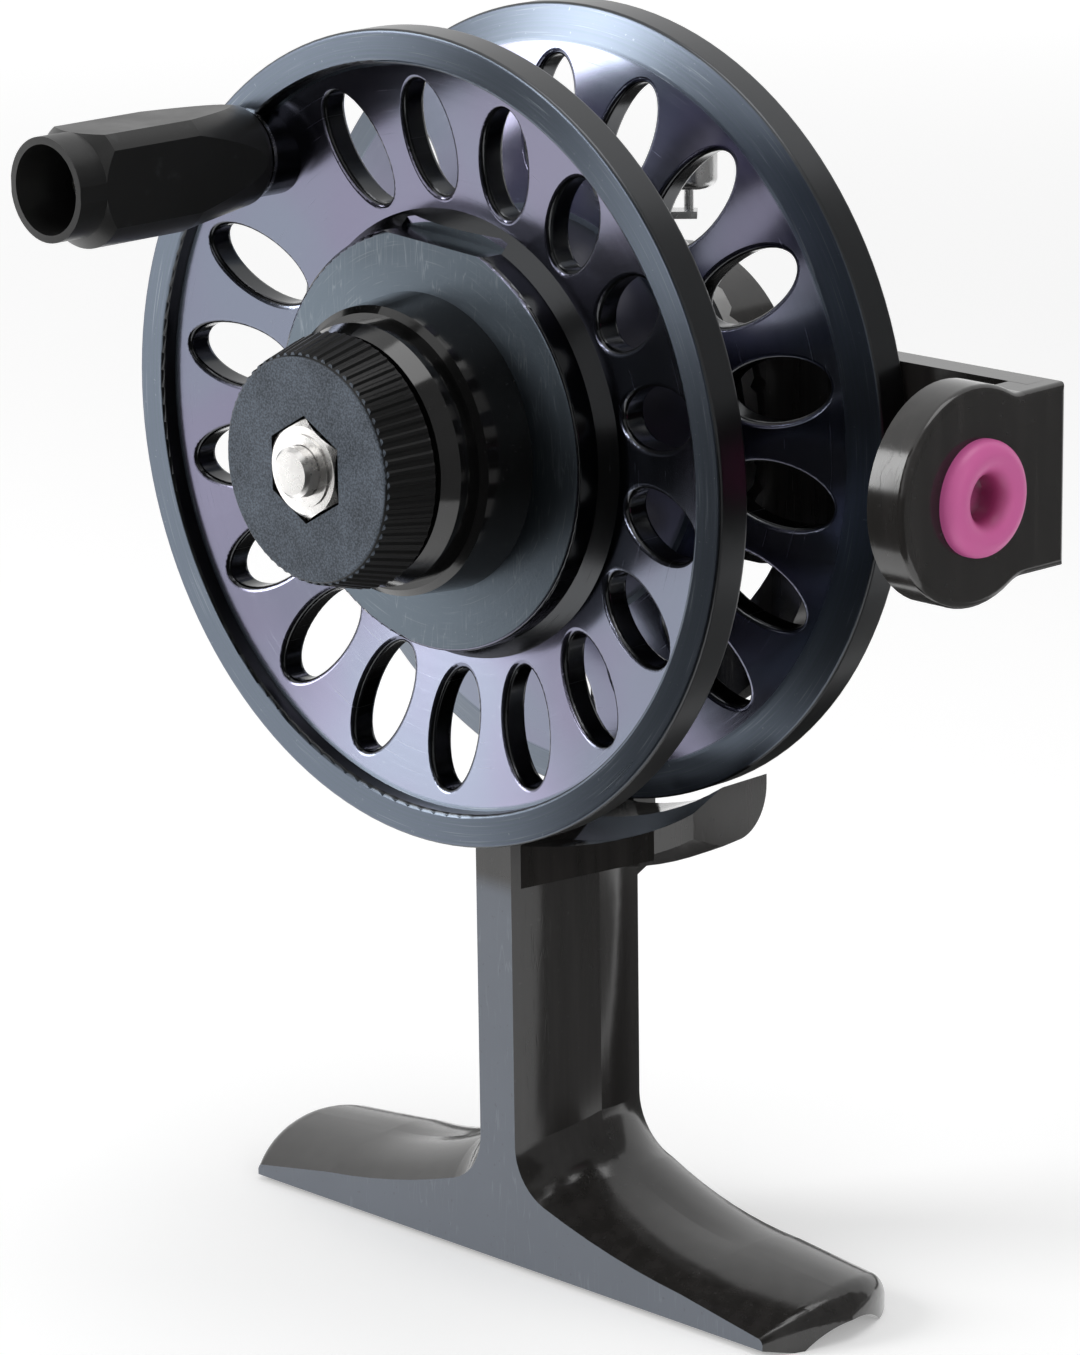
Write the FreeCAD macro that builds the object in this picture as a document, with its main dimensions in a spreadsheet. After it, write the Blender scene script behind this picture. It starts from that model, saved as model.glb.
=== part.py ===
import FreeCAD, Part
import math
import os
import Sketcher

# Ice fishing reel: an open frame on a rod foot carries a spool on two ball bearings.
# Lengths are millimetres. The origin is the middle of the foot's seat, on the parting
# plane of the frame moulding. +Z is up, -Y is the front with the handle and the drag
# knob, +X is the side of the line guide.
# Most pieces are drawn in the spool's own frame: depth runs along +Y from the front
# plane of the spool's rim, x and height are measured from the spool's axis.

SIZES = [
    ("axle_height", 71.0, "foot seat to spool axis"),
    ("parting_depth", 15.4, "rim front to the moulding's parting plane"),
    ("fit_gap", 0.03, "gap of pieces that are fitted into each other"),
    ("run_gap", 0.05, "radial gap of running fits"),
    ("face_gap", 0.1, "gap between faces that slide on each other"),
    # spool
    ("spool_width", 21.4, "over both rims"),
    ("flange_radius", 32.5, "outer radius of the spool"),
    ("rim_width", 2.7, "flat ring at the edge of a flange"),
    ("rim_depth", 3.0, "thickness of the rim at its outer edge"),
    ("recess_step", 1.45, "rim face down to the dished web"),
    ("dish_slope", 0.24, "fall of the web towards the hub"),
    ("web_thickness", 2.45, "thickness of the web along the axis"),
    ("boss_radius", 16.84, "hub boss of a flange"),
    ("boss_setback", 1.0, "rim face to the front boss face"),
    ("boss_flare", 1.16, "flare at the foot of the boss"),
    ("arbor_radius", 16.5, "drum that takes the line"),
    ("spigot_radius", 14.0, "spigot that centres the drum"),
    ("spigot_length", 1.0, "length of that spigot"),
    ("arbor_bore", 6.5, "bore through the drum"),
    ("petal_count", 18, "places for the lightening holes in a flange"),
    ("petal_radius", 23.76, "middle of the lightening holes"),
    ("petal_length", 9.4, "lightening hole, along the radius"),
    ("petal_width", 4.92, "lightening hole, across the radius"),
    ("petal_round", 0.45, "rounded lip of a lightening hole"),
    ("rim_round", 0.3, "broken edges of rim and boss"),
    ("chord_height", 15.9, "flat on the edge of the front boss"),
    ("chord_depth", 2.8, "depth of that flat"),
    ("chord_angle", -46.0, "flat, turned from the handle"),
    ("drag_recess", 8.2, "recess for the brake washers, radius"),
    ("drag_floor", 2.6, "floor of that recess"),
    ("cap_seat_radius", 10.55, "spigot of the hub cap, radius"),
    ("cap_seat_length", 1.0, "spigot of the hub cap, length"),
    # bearings and axle
    ("axle_radius", 2.0, "fixed axle"),
    ("axle_front", -13.5, "front end of the axle"),
    ("axle_chamfer", 0.3, "chamfer on the front end"),
    ("bearing_radius", 5.5, "outer radius of a bearing"),
    ("bearing_width", 4.0, "width of a bearing"),
    ("ring_wall", 1.0, "thickness of a bearing ring"),
    ("ball_radius", 0.95, "bearing ball"),
    ("ball_count", 7, "balls in a bearing"),
    ("bearing_lip", 4.7, "bore of the lip that stops a bearing"),
    ("lip_thickness", 0.8, "thickness of the front lip"),
    ("rear_bearing_inset", 3.4, "rear rim face to the rear bearing"),
    ("spacer_wall", 1.1, "wall of the spacer tubes on the axle"),
    ("head_flats", 7.0, "axle head and nut across flats"),
    ("head_height", 2.8, "height of the axle's hexagon head"),
    ("lock_washer_radius", 3.9, "washer under the axle head"),
    ("lock_washer_height", 0.8, "thickness of that washer"),
    # spool screws and click ring
    ("spool_screw_circle", 11.0, "circle of the spool screws"),
    ("spool_screw_count", 3, "screws that hold the spool together"),
    ("spool_screw_radius", 1.25, "shank of a spool screw"),
    ("spool_screw_head", 2.4, "countersunk head radius"),
    ("spool_screw_length", 14.6, "length of a spool screw"),
    ("socket_flats", 1.5, "hexagon socket across flats"),
    ("socket_depth", 0.9, "depth of the socket"),
    ("ratchet_inner", 14.4, "click ring, inner radius"),
    ("ratchet_height", 1.5, "click ring, height"),
    ("ratchet_teeth", 36, "notches of the click ring"),
    ("ratchet_notch", 0.6, "depth of a notch"),
    # hub cap
    ("cap_radius", 11.9, "stepped cap at the boss, radius"),
    ("cap_step_radius", 11.5, "cap at its shoulder, radius"),
    ("cap_step_depth", -3.4, "front of the wide part"),
    ("cap_edge_radius", 10.95, "shoulder edge, radius"),
    ("cap_edge_depth", -3.85, "shoulder edge"),
    ("cap_collar_radius", 10.4, "collar, radius"),
    ("cap_collar_depth", -5.3, "front of the collar"),
    ("cap_lip_radius", 9.74, "lip, radius"),
    ("cap_lip_depth", -6.8, "front of the lip"),
    ("cap_bore", 8.95, "bore of the cap"),
    # brake stack and knob
    ("friction_inner", 4.9, "friction washer, inner radius"),
    ("friction_thickness", 0.8, "friction washer, thickness"),
    ("thrust_thickness", 1.0, "thrust washer, thickness"),
    ("washer_side_gap", 0.3, "brake washers inside their recess"),
    ("spring_gap", 0.45, "room for the spring to travel"),
    ("spring_wall", 0.35, "spring washer, thickness"),
    ("spring_rise", 0.9, "spring washer, height of its cone"),
    ("spring_radius", 7.2, "spring washer, outer radius"),
    ("spring_bore_gap", 0.6, "bore of the spring washer round the axle"),
    ("push_thickness", 1.0, "push washer, thickness"),
    ("knob_skirt_gap", 0.35, "skirt of the knob in the cap"),
    ("knob_skirt_wall", 2.0, "skirt of the knob, wall"),
    ("knob_back", -7.65, "back of the knob's head"),
    ("knob_radius", 10.0, "knob at its back"),
    ("knob_front_radius", 8.85, "knob at its face"),
    ("knob_front", -11.9, "front face of the knob"),
    ("knob_round", 0.25, "rounded front edge of the knob"),
    ("knob_bore_gap", 0.4, "bore of the knob round the axle"),
    ("nut_trap_gap", 0.2, "nut in its seat in the knob"),
    ("nut_height", 3.2, "nut, height"),
    ("nut_proud", 0.2, "nut in front of the knob's face"),
    ("nut_ring_radius", 2.85, "raised ring on the nut"),
    ("nut_ring_height", 0.15, "height of that ring"),
    ("nut_chamfer", 0.45, "chamfer of the nut's corners"),
    # handle
    ("handle_angle", 132.0, "place of the handle on the spool"),
    ("handle_circle", 28.0, "spool axis to handle axis"),
    ("handle_pad_radius", 3.6, "pad on the flange under the handle"),
    ("handle_screw_radius", 1.5, "handle screw, shank"),
    ("handle_head_radius", 3.0, "handle screw, head radius"),
    ("handle_head_height", 2.0, "handle screw, head height"),
    ("handle_screw_end", 3.9, "rear end of the handle screw"),
    ("sleeve_radius", 2.3, "sleeve that the handle turns on"),
    ("sleeve_length", 14.6, "length of the sleeve"),
    ("handle_washer_height", 0.3, "washer under the handle"),
    ("grip_front", -21.0, "open front end of the handle"),
    ("grip_floor", -14.4, "floor of the handle's open end"),
    ("grip_end_radius", 4.15, "handle at the open end"),
    ("grip_wall", 0.6, "wall at the open end"),
    ("grip_base_radius", 3.95, "handle at its base"),
    ("grip_base_round", 1.0, "rounded base edge"),
    ("grip_belly_radius", 5.1, "thickest part of the handle"),
    ("grip_belly_front", -17.4, "front edge of the thick part"),
    ("grip_belly_back", -8.5, "rear edge of the thick part"),
    ("grip_belly_slope", 0.9, "slope in front of the thick part"),
    ("grip_side", 4.1, "half width over the flat sides"),
    ("cross_reach", 1.8, "cross recess, half length of a slot"),
    ("cross_width", 0.7, "cross recess, slot width"),
    ("cross_depth", 1.0, "cross recess, depth"),
    # frame moulding
    ("front_depth", 7.8, "front face of stem and foot"),
    ("rear_depth", 22.0, "rear face of stem and foot"),
    ("spool_clearance", 0.8, "rim to the frame below it"),
    ("stem_drop", 0.4, "stem's top below the inner face of the guard"),
    ("stem_front_half", 2.0, "half width of the stem's front face"),
    ("stem_half", 4.6, "half width of the stem at the parting plane"),
    ("stem_rear_half", 2.6, "half width of the stem's rear face"),
    ("knee_front", 10.8, "start of the front fillet over the seat"),
    ("knee_middle", 12.7, "start of the middle fillet over the seat"),
    ("knee_rear", 12.0, "start of the rear fillet over the seat"),
    ("root_front_x", 5.2, "end of the front fillet"),
    ("root_front_z", 6.35, "end of the front fillet over the seat"),
    ("root_middle_x", 7.7, "end of the middle fillet"),
    ("root_middle_z", 8.2, "end of the middle fillet over the seat"),
    ("root_rear_x", 6.4, "end of the rear fillet"),
    ("root_rear_z", 7.2, "end of the rear fillet over the seat"),
    ("root_front_round", 4.8, "front fillet"),
    ("root_middle_round", 5.2, "middle fillet"),
    ("root_rear_round", 5.2, "rear fillet"),
    ("crest_x", 20.5, "where the foot's top gets straight"),
    ("crest_front_z", 2.95, "foot top there, front face"),
    ("crest_middle_z", 4.8, "foot top there, parting plane"),
    ("crest_rear_z", 3.7, "foot top there, rear face"),
    ("crest_front_round", 75.0, "sweep of the foot's top, front"),
    ("crest_middle_round", 28.0, "sweep of the foot's top, middle"),
    ("crest_rear_round", 36.0, "sweep of the foot's top, rear"),
    ("foot_half", 32.2, "half length of the foot, parting plane"),
    ("foot_front_half", 29.4, "half length of the foot, front face"),
    ("foot_rear_half", 29.8, "half length of the foot, rear face"),
    ("foot_end_front", 1.4, "foot end over the seat, front face"),
    ("foot_end_middle", 3.8, "foot end over the seat, parting plane"),
    ("foot_end_rear", 2.7, "foot end over the seat, rear face"),
    ("foot_edge_front", 0.5, "front bottom edge over the seat"),
    ("foot_edge_middle", -1.1, "bottom at the parting plane, before the saddle"),
    ("foot_edge_rear", 0.2, "rear bottom edge over the seat"),
    ("end_middle_round", 2.4, "rounded end of the foot at the parting plane"),
    ("end_front_round", 0.6, "rounded end of the foot, front face"),
    ("end_rear_round", 1.6, "rounded end of the foot, rear face"),
    ("crown", 0.45, "how far stem and foot bulge between two sections"),
    ("saddle_radius", 7.0, "saddle for the rod, radius"),
    ("saddle_rise", 1.7, "top of the saddle over the seat"),
    ("saddle_depth", 15.6, "middle of the saddle"),
    # line guard
    ("guard_front", 12.0, "front of the line guard"),
    ("guard_back", 20.6, "back of the line guard"),
    ("guard_front_inner", 34.5, "inner radius at the front"),
    ("guard_front_outer", 36.3, "outer radius at the front"),
    ("guard_outer", 37.4, "outer radius at the parting plane"),
    ("guard_round", 3.4, "rounded rear edge of the guard"),
    ("guard_lip", 0.3, "guard's outer edge in front of the parting plane"),
    ("guard_sweep", 52.0, "angle of the guard about the spool axis"),
    ("guard_end", 18.3, "end of the guard"),
    ("guard_root_front", 8.4, "front of the guard's root"),
    ("guard_ramp", 14.0, "length of the root's ramp"),
    ("guard_web", 2.6, "web under the guard's root at the stem"),
    ("guard_web_end", 0.5, "web under the guard's root at the ramp's end"),
    # back plate
    ("plate_depth", 21.8, "front of the back plate"),
    ("plate_thickness", 2.6, "thickness of the back plate"),
    ("hub_radius", 13.0, "hub disc of the back plate"),
    ("strut_half", 2.4, "half width of the middle strut"),
    ("strut_end", 39.0, "lower end of the middle strut"),
    ("flare_height", 1.6, "flare that joins the strut to the stem, height"),
    ("flare_inset", 0.2, "flare inside the strut's back and sides"),
    ("flare_land", 0.3, "upright part of the flare over and under the strut's end"),
    ("flare_sink", 0.5, "foot of the flare inside the stem's rear"),
    ("curve_inner", 21.0, "curved strut, inner radius"),
    ("curve_outer", 24.0, "curved strut, outer radius"),
    ("curve_shift_x", -0.9, "middle of the outer curve"),
    ("curve_shift_z", -3.6, "middle of the outer curve"),
    ("curve_start", -10.0, "start of the curved strut"),
    ("curve_end", -86.0, "end of the curved strut"),
    ("arm_top", 7.5, "top of the arm"),
    ("arm_bottom", 11.0, "bottom of the arm near the hub"),
    ("arm_bend", 16.5, "where the arm's bottom begins to rise"),
    ("arm_end_bottom", 6.8, "bottom of the arm at the guide"),
    # guide
    ("guide_face", 45.6, "outer face of the guide plate"),
    ("guide_plate", 3.6, "thickness of the guide plate"),
    ("guide_depth", 14.1, "middle of the line guide"),
    ("guide_height", 0.4, "line guide over the spool axis"),
    ("guide_round", 8.5, "rounded end of the guide plate"),
    ("guide_neck", 4.7, "ring's middle to the straight part of the plate"),
    ("guide_neck_round", 3.0, "hollow where the rounded end meets the plate"),
    ("guide_edge_round", 0.7, "rounded edge of the guide plate's face"),
    ("guide_seat", 3.5, "bore for the guide ring"),
    ("ring_flange", 4.5, "guide ring, outer radius"),
    ("ring_crest", 3.35, "guide ring, crest of its rounded lip"),
    ("ring_proud", 1.5, "guide ring in front of the plate"),
    ("ring_throat", 1.7, "guide ring, throat radius"),
    ("throat_length", 1.0, "guide ring, length of the straight throat"),
    ("ring_rear_flare", 0.9, "guide ring, flare of its rear end"),
    ("ring_back", 0.6, "swaged edge behind the plate"),
    ("ring_swage", 0.4, "swaged edge over its seat"),
    # rear housing
    ("housing_radius", 11.5, "rear housing"),
    ("housing_back", 31.0, "rear edge of the housing"),
    ("housing_wall", 1.8, "wall of the housing"),
    ("cover_thickness", 1.6, "rear cover"),
    ("post_circle", 8.0, "circle of the cover screws"),
    ("post_radius", 1.9, "screw post"),
    ("post_count", 3, "cover screws"),
    ("cover_screw_radius", 0.95, "cover screw, shank"),
    ("cover_screw_head", 1.8, "cover screw, head radius"),
    ("cover_head_height", 1.1, "cover screw, head height"),
    ("cover_screw_length", 5.0, "cover screw, length"),
    # click lever
    ("pivot_x", -4.5, "pivot of the click lever"),
    ("pivot_depth", 27.5, "pivot of the click lever"),
    ("lever_height", 13.5, "underside of the click lever"),
    ("lever_thickness", 0.6, "click lever, thickness"),
    ("lever_gap", 0.2, "click lever over its seat"),
    ("lever_eye", 2.2, "click lever round its pivot"),
    ("lever_arm_half", 1.1, "half width of the lever's arms at the pivot"),
    ("lever_peg_half", 0.9, "half width of the lever at the peg"),
    ("lever_past_peg", 0.7, "lever beyond the peg"),
    ("pawl_half", 0.4, "half width of the lever's tip"),
    ("pawl_x", -8.5, "tip of the click lever"),
    ("pawl_depth", 22.1, "tip of the click lever"),
    ("stub_depth", 31.4, "peg of the click knob"),
    ("stub_radius", 0.4, "peg of the click knob, radius"),
    ("stub_length", 1.9, "peg between lever and knob"),
    ("stub_seat", 1.2, "peg inside the click knob"),
    ("click_knob_radius", 2.35, "click knob"),
    ("click_knob_low_round", 0.8, "rounded lower edge of the click knob"),
    ("click_knob_top_round", 0.5, "rounded upper edge of the click knob"),
    ("click_knob_height", 4.6, "click knob, height"),
    ("click_hole_spare", 0.4, "hole below the click screw's end"),
    ("click_screw_radius", 1.1, "click screw, shank"),
    ("click_screw_head", 2.0, "click screw, head radius"),
    ("click_head_height", 1.0, "click screw, head height"),
    ("click_screw_length", 3.2, "click screw below the lever"),
    ("seat_half", 2.9, "half width of the click lever's seat"),
]

os.makedirs("parts", exist_ok=True)
doc = FreeCAD.newDocument("reel")
sheet = doc.addObject("Spreadsheet::Sheet", "Sizes")


class Size:
    """A number together with the sheet expression that gives it."""

    def __init__(self, value, text):
        self.value = value
        self.text = text

    def __add__(self, other):
        other = as_size(other)
        return Size(self.value + other.value, "(%s + %s)" % (self.text, other.text))

    def __sub__(self, other):
        other = as_size(other)
        return Size(self.value - other.value, "(%s - %s)" % (self.text, other.text))

    def __mul__(self, other):
        other = as_size(other)
        return Size(self.value * other.value, "(%s * %s)" % (self.text, other.text))

    def __truediv__(self, other):
        other = as_size(other)
        return Size(self.value / other.value, "(%s / %s)" % (self.text, other.text))

    def __neg__(self):
        return Size(-self.value, "(0 - %s)" % self.text)

    def __radd__(self, other):
        return as_size(other) + self

    def __rsub__(self, other):
        return as_size(other) - self

    def __rmul__(self, other):
        return as_size(other) * self

    def __rtruediv__(self, other):
        return as_size(other) / self


def as_size(number):
    return number if isinstance(number, Size) else Size(float(number), "(%r)" % float(number))


def root(size):
    return Size(math.sqrt(size.value), "sqrt(%s)" % size.text)


def cosine(size):
    size = as_size(size)
    return Size(math.cos(math.radians(size.value)), "cos(%s)" % size.text)


def sine(size):
    size = as_size(size)
    return Size(math.sin(math.radians(size.value)), "sin(%s)" % size.text)


class Values:
    """The sheet's sizes by name."""


v = Values()
for row, (name, number, note) in enumerate(SIZES, start=1):
    sheet.set("A%d" % row, name)
    sheet.set("B%d" % row, str(number))
    sheet.setAlias("B%d" % row, name)
    sheet.set("C%d" % row, note)
    setattr(v, name, Size(float(number), "Sizes.%s" % name))
doc.recompute()

NODES = []
ZERO = as_size(0)
# Cuts begin and end this far outside what they cut.
OVER = as_size(1)


def bind(thing, prop, size):
    thing.setExpression(prop, as_size(size).text)


def place(thing, x=ZERO, depth=ZERO, height=ZERO, turn=None):
    """Puts a piece into the spool's frame, turned about the spool axis if asked."""
    if turn is not None:
        thing.Placement = FreeCAD.Placement(
            FreeCAD.Vector(0, 0, 0), FreeCAD.Rotation(FreeCAD.Vector(0, -1, 0), turn.value))
        bind(thing, "Placement.Rotation.Angle", turn)
    bind(thing, "Placement.Base.x", x)
    bind(thing, "Placement.Base.y", depth - v.parting_depth)
    bind(thing, "Placement.Base.z", height + v.axle_height)
    return thing


def new_body(label, **where):
    body = doc.addObject("PartDesign::Body", label)
    body.Label = label
    place(body, **where)
    NODES.append(body)
    return body


def origin_feature(body, role):
    for feature in body.Origin.OriginFeatures:
        if feature.Role == role:
            return feature


def new_sketch(body, role, offset=ZERO):
    """A sketch on one of the body's own planes, moved along the plane's normal."""
    sketch = body.newObject("Sketcher::SketchObject", "Sketch")
    sketch.AttachmentSupport = [(origin_feature(body, role), "")]
    sketch.MapMode = "FlatFace"
    bind(sketch, "AttachmentOffset.Base.z", offset)
    return sketch


def fix_point(sketch, geometry, end, x, y):
    for axis, kind, size in ((-2, "DistanceX", as_size(x)), (-1, "DistanceY", as_size(y))):
        if abs(size.value) < 1e-9:
            sketch.addConstraint(Sketcher.Constraint("PointOnObject", geometry, end, axis))
        else:
            index = sketch.addConstraint(
                Sketcher.Constraint(kind, -1, 1, geometry, end, size.value))
            bind(sketch, "Constraints[%d]" % index, size)


def outline(sketch, corners):
    """Closes a loop. A corner is (x, y), or (x, y, radius, turn) when the edge that
    leaves it is an arc, with turn 1 for a left bend and -1 for a right bend."""
    count = len(corners)
    ends = []
    for index, corner in enumerate(corners):
        following = corners[(index + 1) % count]
        start = FreeCAD.Vector(as_size(corner[0]).value, as_size(corner[1]).value, 0)
        stop = FreeCAD.Vector(as_size(following[0]).value, as_size(following[1]).value, 0)
        if len(corner) == 2:
            edge = sketch.addGeometry(Part.LineSegment(start, stop), False)
            ends.append((edge, 1, 2))
            continue
        radius, turn = as_size(corner[2]), corner[3]
        chord = stop - start
        side = FreeCAD.Vector(-chord.y, chord.x, 0).normalize() * turn
        rise = math.sqrt(max(radius.value ** 2 - chord.Length ** 2 / 4, 0))
        centre = (start + stop) * 0.5 + side * rise
        first, last = (start, stop) if turn > 0 else (stop, start)
        low = math.atan2(first.y - centre.y, first.x - centre.x)
        high = math.atan2(last.y - centre.y, last.x - centre.x)
        if high < low:
            high += 2 * math.pi
        circle = Part.Circle(centre, FreeCAD.Vector(0, 0, 1), radius.value)
        edge = sketch.addGeometry(Part.ArcOfCircle(circle, low, high), False)
        ends.append((edge, 1, 2) if turn > 0 else (edge, 2, 1))
        bend = sketch.addConstraint(Sketcher.Constraint("Radius", edge, radius.value))
        bind(sketch, "Constraints[%d]" % bend, radius)
    for index, (edge, start_end, stop_end) in enumerate(ends):
        next_edge, next_start, _ = ends[(index + 1) % count]
        sketch.addConstraint(
            Sketcher.Constraint("Coincident", edge, stop_end, next_edge, next_start))
        fix_point(sketch, edge, start_end, corners[index][0], corners[index][1])
    return sketch


def circle_in(sketch, radius, x=ZERO, y=ZERO):
    radius, x, y = as_size(radius), as_size(x), as_size(y)
    centre = FreeCAD.Vector(x.value, y.value, 0)
    edge = sketch.addGeometry(
        Part.Circle(centre, FreeCAD.Vector(0, 0, 1), radius.value), False)
    index = sketch.addConstraint(Sketcher.Constraint("Radius", edge, radius.value))
    bind(sketch, "Constraints[%d]" % index, radius)
    fix_point(sketch, edge, 3, x, y)
    return sketch


def ellipse_in(sketch, x, half_long, half_short):
    """An upright oval on the sketch's x axis, long along that axis."""
    centre = FreeCAD.Vector(x.value, 0, 0)
    along = FreeCAD.Vector(x.value + half_long.value, 0, 0)
    across = FreeCAD.Vector(x.value, half_short.value, 0)
    edge = sketch.addGeometry(Part.Ellipse(along, across, centre), False)
    sketch.exposeInternalGeometry(edge)
    fix_point(sketch, edge, 3, x, ZERO)
    sketch.addConstraint(Sketcher.Constraint("Horizontal", edge + 1))
    for line, half in ((edge + 1, half_long), (edge + 2, half_short)):
        index = sketch.addConstraint(Sketcher.Constraint("Distance", line, 2 * half.value))
        bind(sketch, "Constraints[%d]" % index, 2 * half)
    return sketch


def hexagon_in(sketch, flats, x=ZERO, y=ZERO, upright=False):
    """A hexagon with two corners on the sketch's x direction, or on its y direction."""
    far = flats / math.sqrt(3.0)
    near = far / 2
    half = flats / 2
    corners = [(far, ZERO), (near, half), (-near, half),
               (-far, ZERO), (-near, -half), (near, -half)]
    if upright:
        corners = [(-across, along) for along, across in corners]
    return outline(sketch, [(x + along, y + across) for along, across in corners])


def feature(body, kind, sketch, **settings):
    item = body.newObject("PartDesign::" + kind, kind)
    item.Profile = sketch
    for prop, value in settings.items():
        if isinstance(value, Size):
            bind(item, prop, value)
        else:
            setattr(item, prop, value)
    sketch.Visibility = False
    return item


def pad(body, sketch, length, flip=False, both=False):
    """Fills along the sketch plane's normal, or against it with flip."""
    return feature(body, "Pad", sketch, Length=length, Reversed=flip, Midplane=both)


def pocket(body, sketch, length, flip=False, both=False):
    """Cuts against the sketch plane's normal, or along it with flip."""
    doc.recompute()
    before = body.Shape.Volume
    item = feature(body, "Pocket", sketch, Length=length, Reversed=flip, Midplane=both)
    doc.recompute()
    if body.Shape.Volume > before - 1e-4:
        raise RuntimeError("a pocket in %s cuts nothing" % body.Label)
    return item


def turned(body, corners, axis_height=None, kind="Revolution"):
    """Turns a profile of (depth, radius) corners about the depth axis, or about a
    line parallel to it at axis_height."""
    sketch = new_sketch(body, "YZ_Plane")
    lift = ZERO if axis_height is None else axis_height
    raised = [(corner[0], lift + corner[1]) + tuple(corner[2:]) for corner in corners]
    outline(sketch, raised)
    axis = "H_Axis"
    if axis_height is not None:
        line = Part.LineSegment(FreeCAD.Vector(0, lift.value, 0),
                                FreeCAD.Vector(1, lift.value, 0))
        edge = sketch.addGeometry(line, True)
        fix_point(sketch, edge, 1, ZERO, lift)
        fix_point(sketch, edge, 2, as_size(1), lift)
        axis = "Axis0"
    return feature(body, kind, sketch, ReferenceAxis=(sketch, [axis]))


def ring_of(body, originals, count, angle=None):
    """Repeats features about the spool axis."""
    item = body.newObject("PartDesign::PolarPattern", "Pattern")
    item.Originals = originals
    item.Axis = (origin_feature(body, "Y_Axis"), [""])
    bind(item, "Occurrences", count)
    if angle is None:
        item.Angle = 360
    else:
        bind(item, "Angle", angle)
    body.Tip = item
    return item


def rounded(body, radius, wanted):
    """Rounds the edges of the body for which wanted(edge) is true."""
    doc.recompute()
    base = body.Tip
    names = ["Edge%d" % (index + 1) for index, edge in enumerate(base.Shape.Edges)
             if wanted(edge)]
    item = body.newObject("PartDesign::Fillet", "Fillet")
    item.Base = (base, names)
    bind(item, "Radius", radius)
    body.Tip = item
    return item


def circle_at(depth, radius):
    """Picks full circles about the spool axis at one depth and radius."""
    def wanted(edge):
        curve = edge.Curve
        return (isinstance(curve, Part.Circle) and abs(curve.Radius - radius.value) < 1e-3
                and abs(curve.Center.y - depth.value) < 1e-3
                and math.hypot(curve.Center.x, curve.Center.z) < 1e-3)
    return wanted


def any_of(*tests):
    return lambda edge: any(test(edge) for test in tests)


def washer(label, front, back, inner, outer, **where):
    body = new_body(label, **where)
    turned(body, [(front, inner), (back, inner), (back, outer), (front, outer)])
    return body


# Spool. Depths of one flange, measured from its own rim face.
rim_inner = v.flange_radius - v.rim_width
boss_foot = v.boss_radius + v.boss_flare


def web_face(radius):
    """Depth of the dished web's outer face at a radius."""
    return v.recess_step + v.dish_slope * (rim_inner - radius)


arbor_seat = web_face(v.arbor_radius) + v.web_thickness
spigot_end = arbor_seat + v.spigot_length
front_lip_back = v.drag_floor + v.lip_thickness
rear_hub_face = v.spool_width - v.ratchet_height


def petals(body, count, first, sweep):
    """Oval holes round a flange, starting one step after the handle's place."""
    sketch = new_sketch(body, "XZ_Plane", first)
    ellipse_in(sketch, v.petal_radius, v.petal_length / 2, v.petal_width / 2)
    hole = pocket(body, sketch, v.spool_width, both=True)
    return ring_of(body, [hole], count, sweep)


def petal_lip(edge):
    """Picks the edges of the oval holes."""
    if isinstance(edge.Curve, (Part.Circle, Part.Line)):
        return False
    box = edge.BoundBox
    reach = math.hypot(box.Center.x, box.Center.z)
    return abs(reach - v.petal_radius.value) < v.petal_width.value / 2 and box.YLength < 4


def polar(radius, angle, across=ZERO):
    """Point at a radius and angle, moved across that radius."""
    x = radius * cosine(angle) - across * sine(angle)
    y = radius * sine(angle) + across * cosine(angle)
    return x, y


def screw_holes(body, profile):
    """Cuts the spool screws' holes, given as (depth, radius) about a screw's axis."""
    hole = turned(body, profile, v.spool_screw_circle, "Groove")
    return ring_of(body, [hole], v.spool_screw_count)


petal_step = 360 / v.petal_count
flange_turn = v.handle_angle - petal_step
screw_bore = v.spool_screw_radius + v.fit_gap
screw_front = rear_hub_face - v.spool_screw_length

front_flange = new_body("spool_front_flange", turn=flange_turn)
turned(front_flange, [
    (ZERO, v.flange_radius),
    (ZERO, rim_inner),
    (v.recess_step, rim_inner),
    (web_face(boss_foot), boss_foot),
    (web_face(boss_foot) - v.boss_flare, v.boss_radius),
    (v.boss_setback, v.boss_radius),
    (v.boss_setback, v.cap_seat_radius + v.fit_gap),
    (v.boss_setback + v.cap_seat_length + v.fit_gap, v.cap_seat_radius + v.fit_gap),
    (v.boss_setback + v.cap_seat_length + v.fit_gap, v.drag_recess),
    (v.drag_floor, v.drag_recess),
    (v.drag_floor, v.bearing_lip),
    (front_lip_back, v.bearing_lip),
    (front_lip_back, v.bearing_radius + v.fit_gap),
    (spigot_end, v.bearing_radius + v.fit_gap),
    (spigot_end, v.spigot_radius),
    (arbor_seat, v.spigot_radius),
    (arbor_seat, v.arbor_radius),
    (v.recess_step + v.web_thickness, rim_inner),
    (v.rim_depth, v.flange_radius),
])
rounded(front_flange, v.rim_round, any_of(
    circle_at(ZERO, v.flange_radius), circle_at(ZERO, rim_inner),
    circle_at(v.rim_depth, v.flange_radius), circle_at(v.boss_setback, v.boss_radius)))
petals(front_flange, v.petal_count - 1, ZERO, 360 - 2 * petal_step)
rounded(front_flange, v.petal_round, petal_lip)
handle_x, handle_y = polar(v.handle_circle, petal_step)
pad_sketch = circle_in(new_sketch(front_flange, "XZ_Plane"), v.handle_pad_radius,
                       handle_x, handle_y)
pad(front_flange, pad_sketch, web_face(v.handle_circle) + v.web_thickness / 2, flip=True)
hole_sketch = circle_in(new_sketch(front_flange, "XZ_Plane"),
                        v.handle_screw_radius + v.fit_gap, handle_x, handle_y)
pocket(front_flange, hole_sketch, v.spool_width / 2)
chord_at = v.chord_angle + petal_step
chord_half = root(v.boss_radius * v.boss_radius - v.chord_height * v.chord_height)
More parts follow.
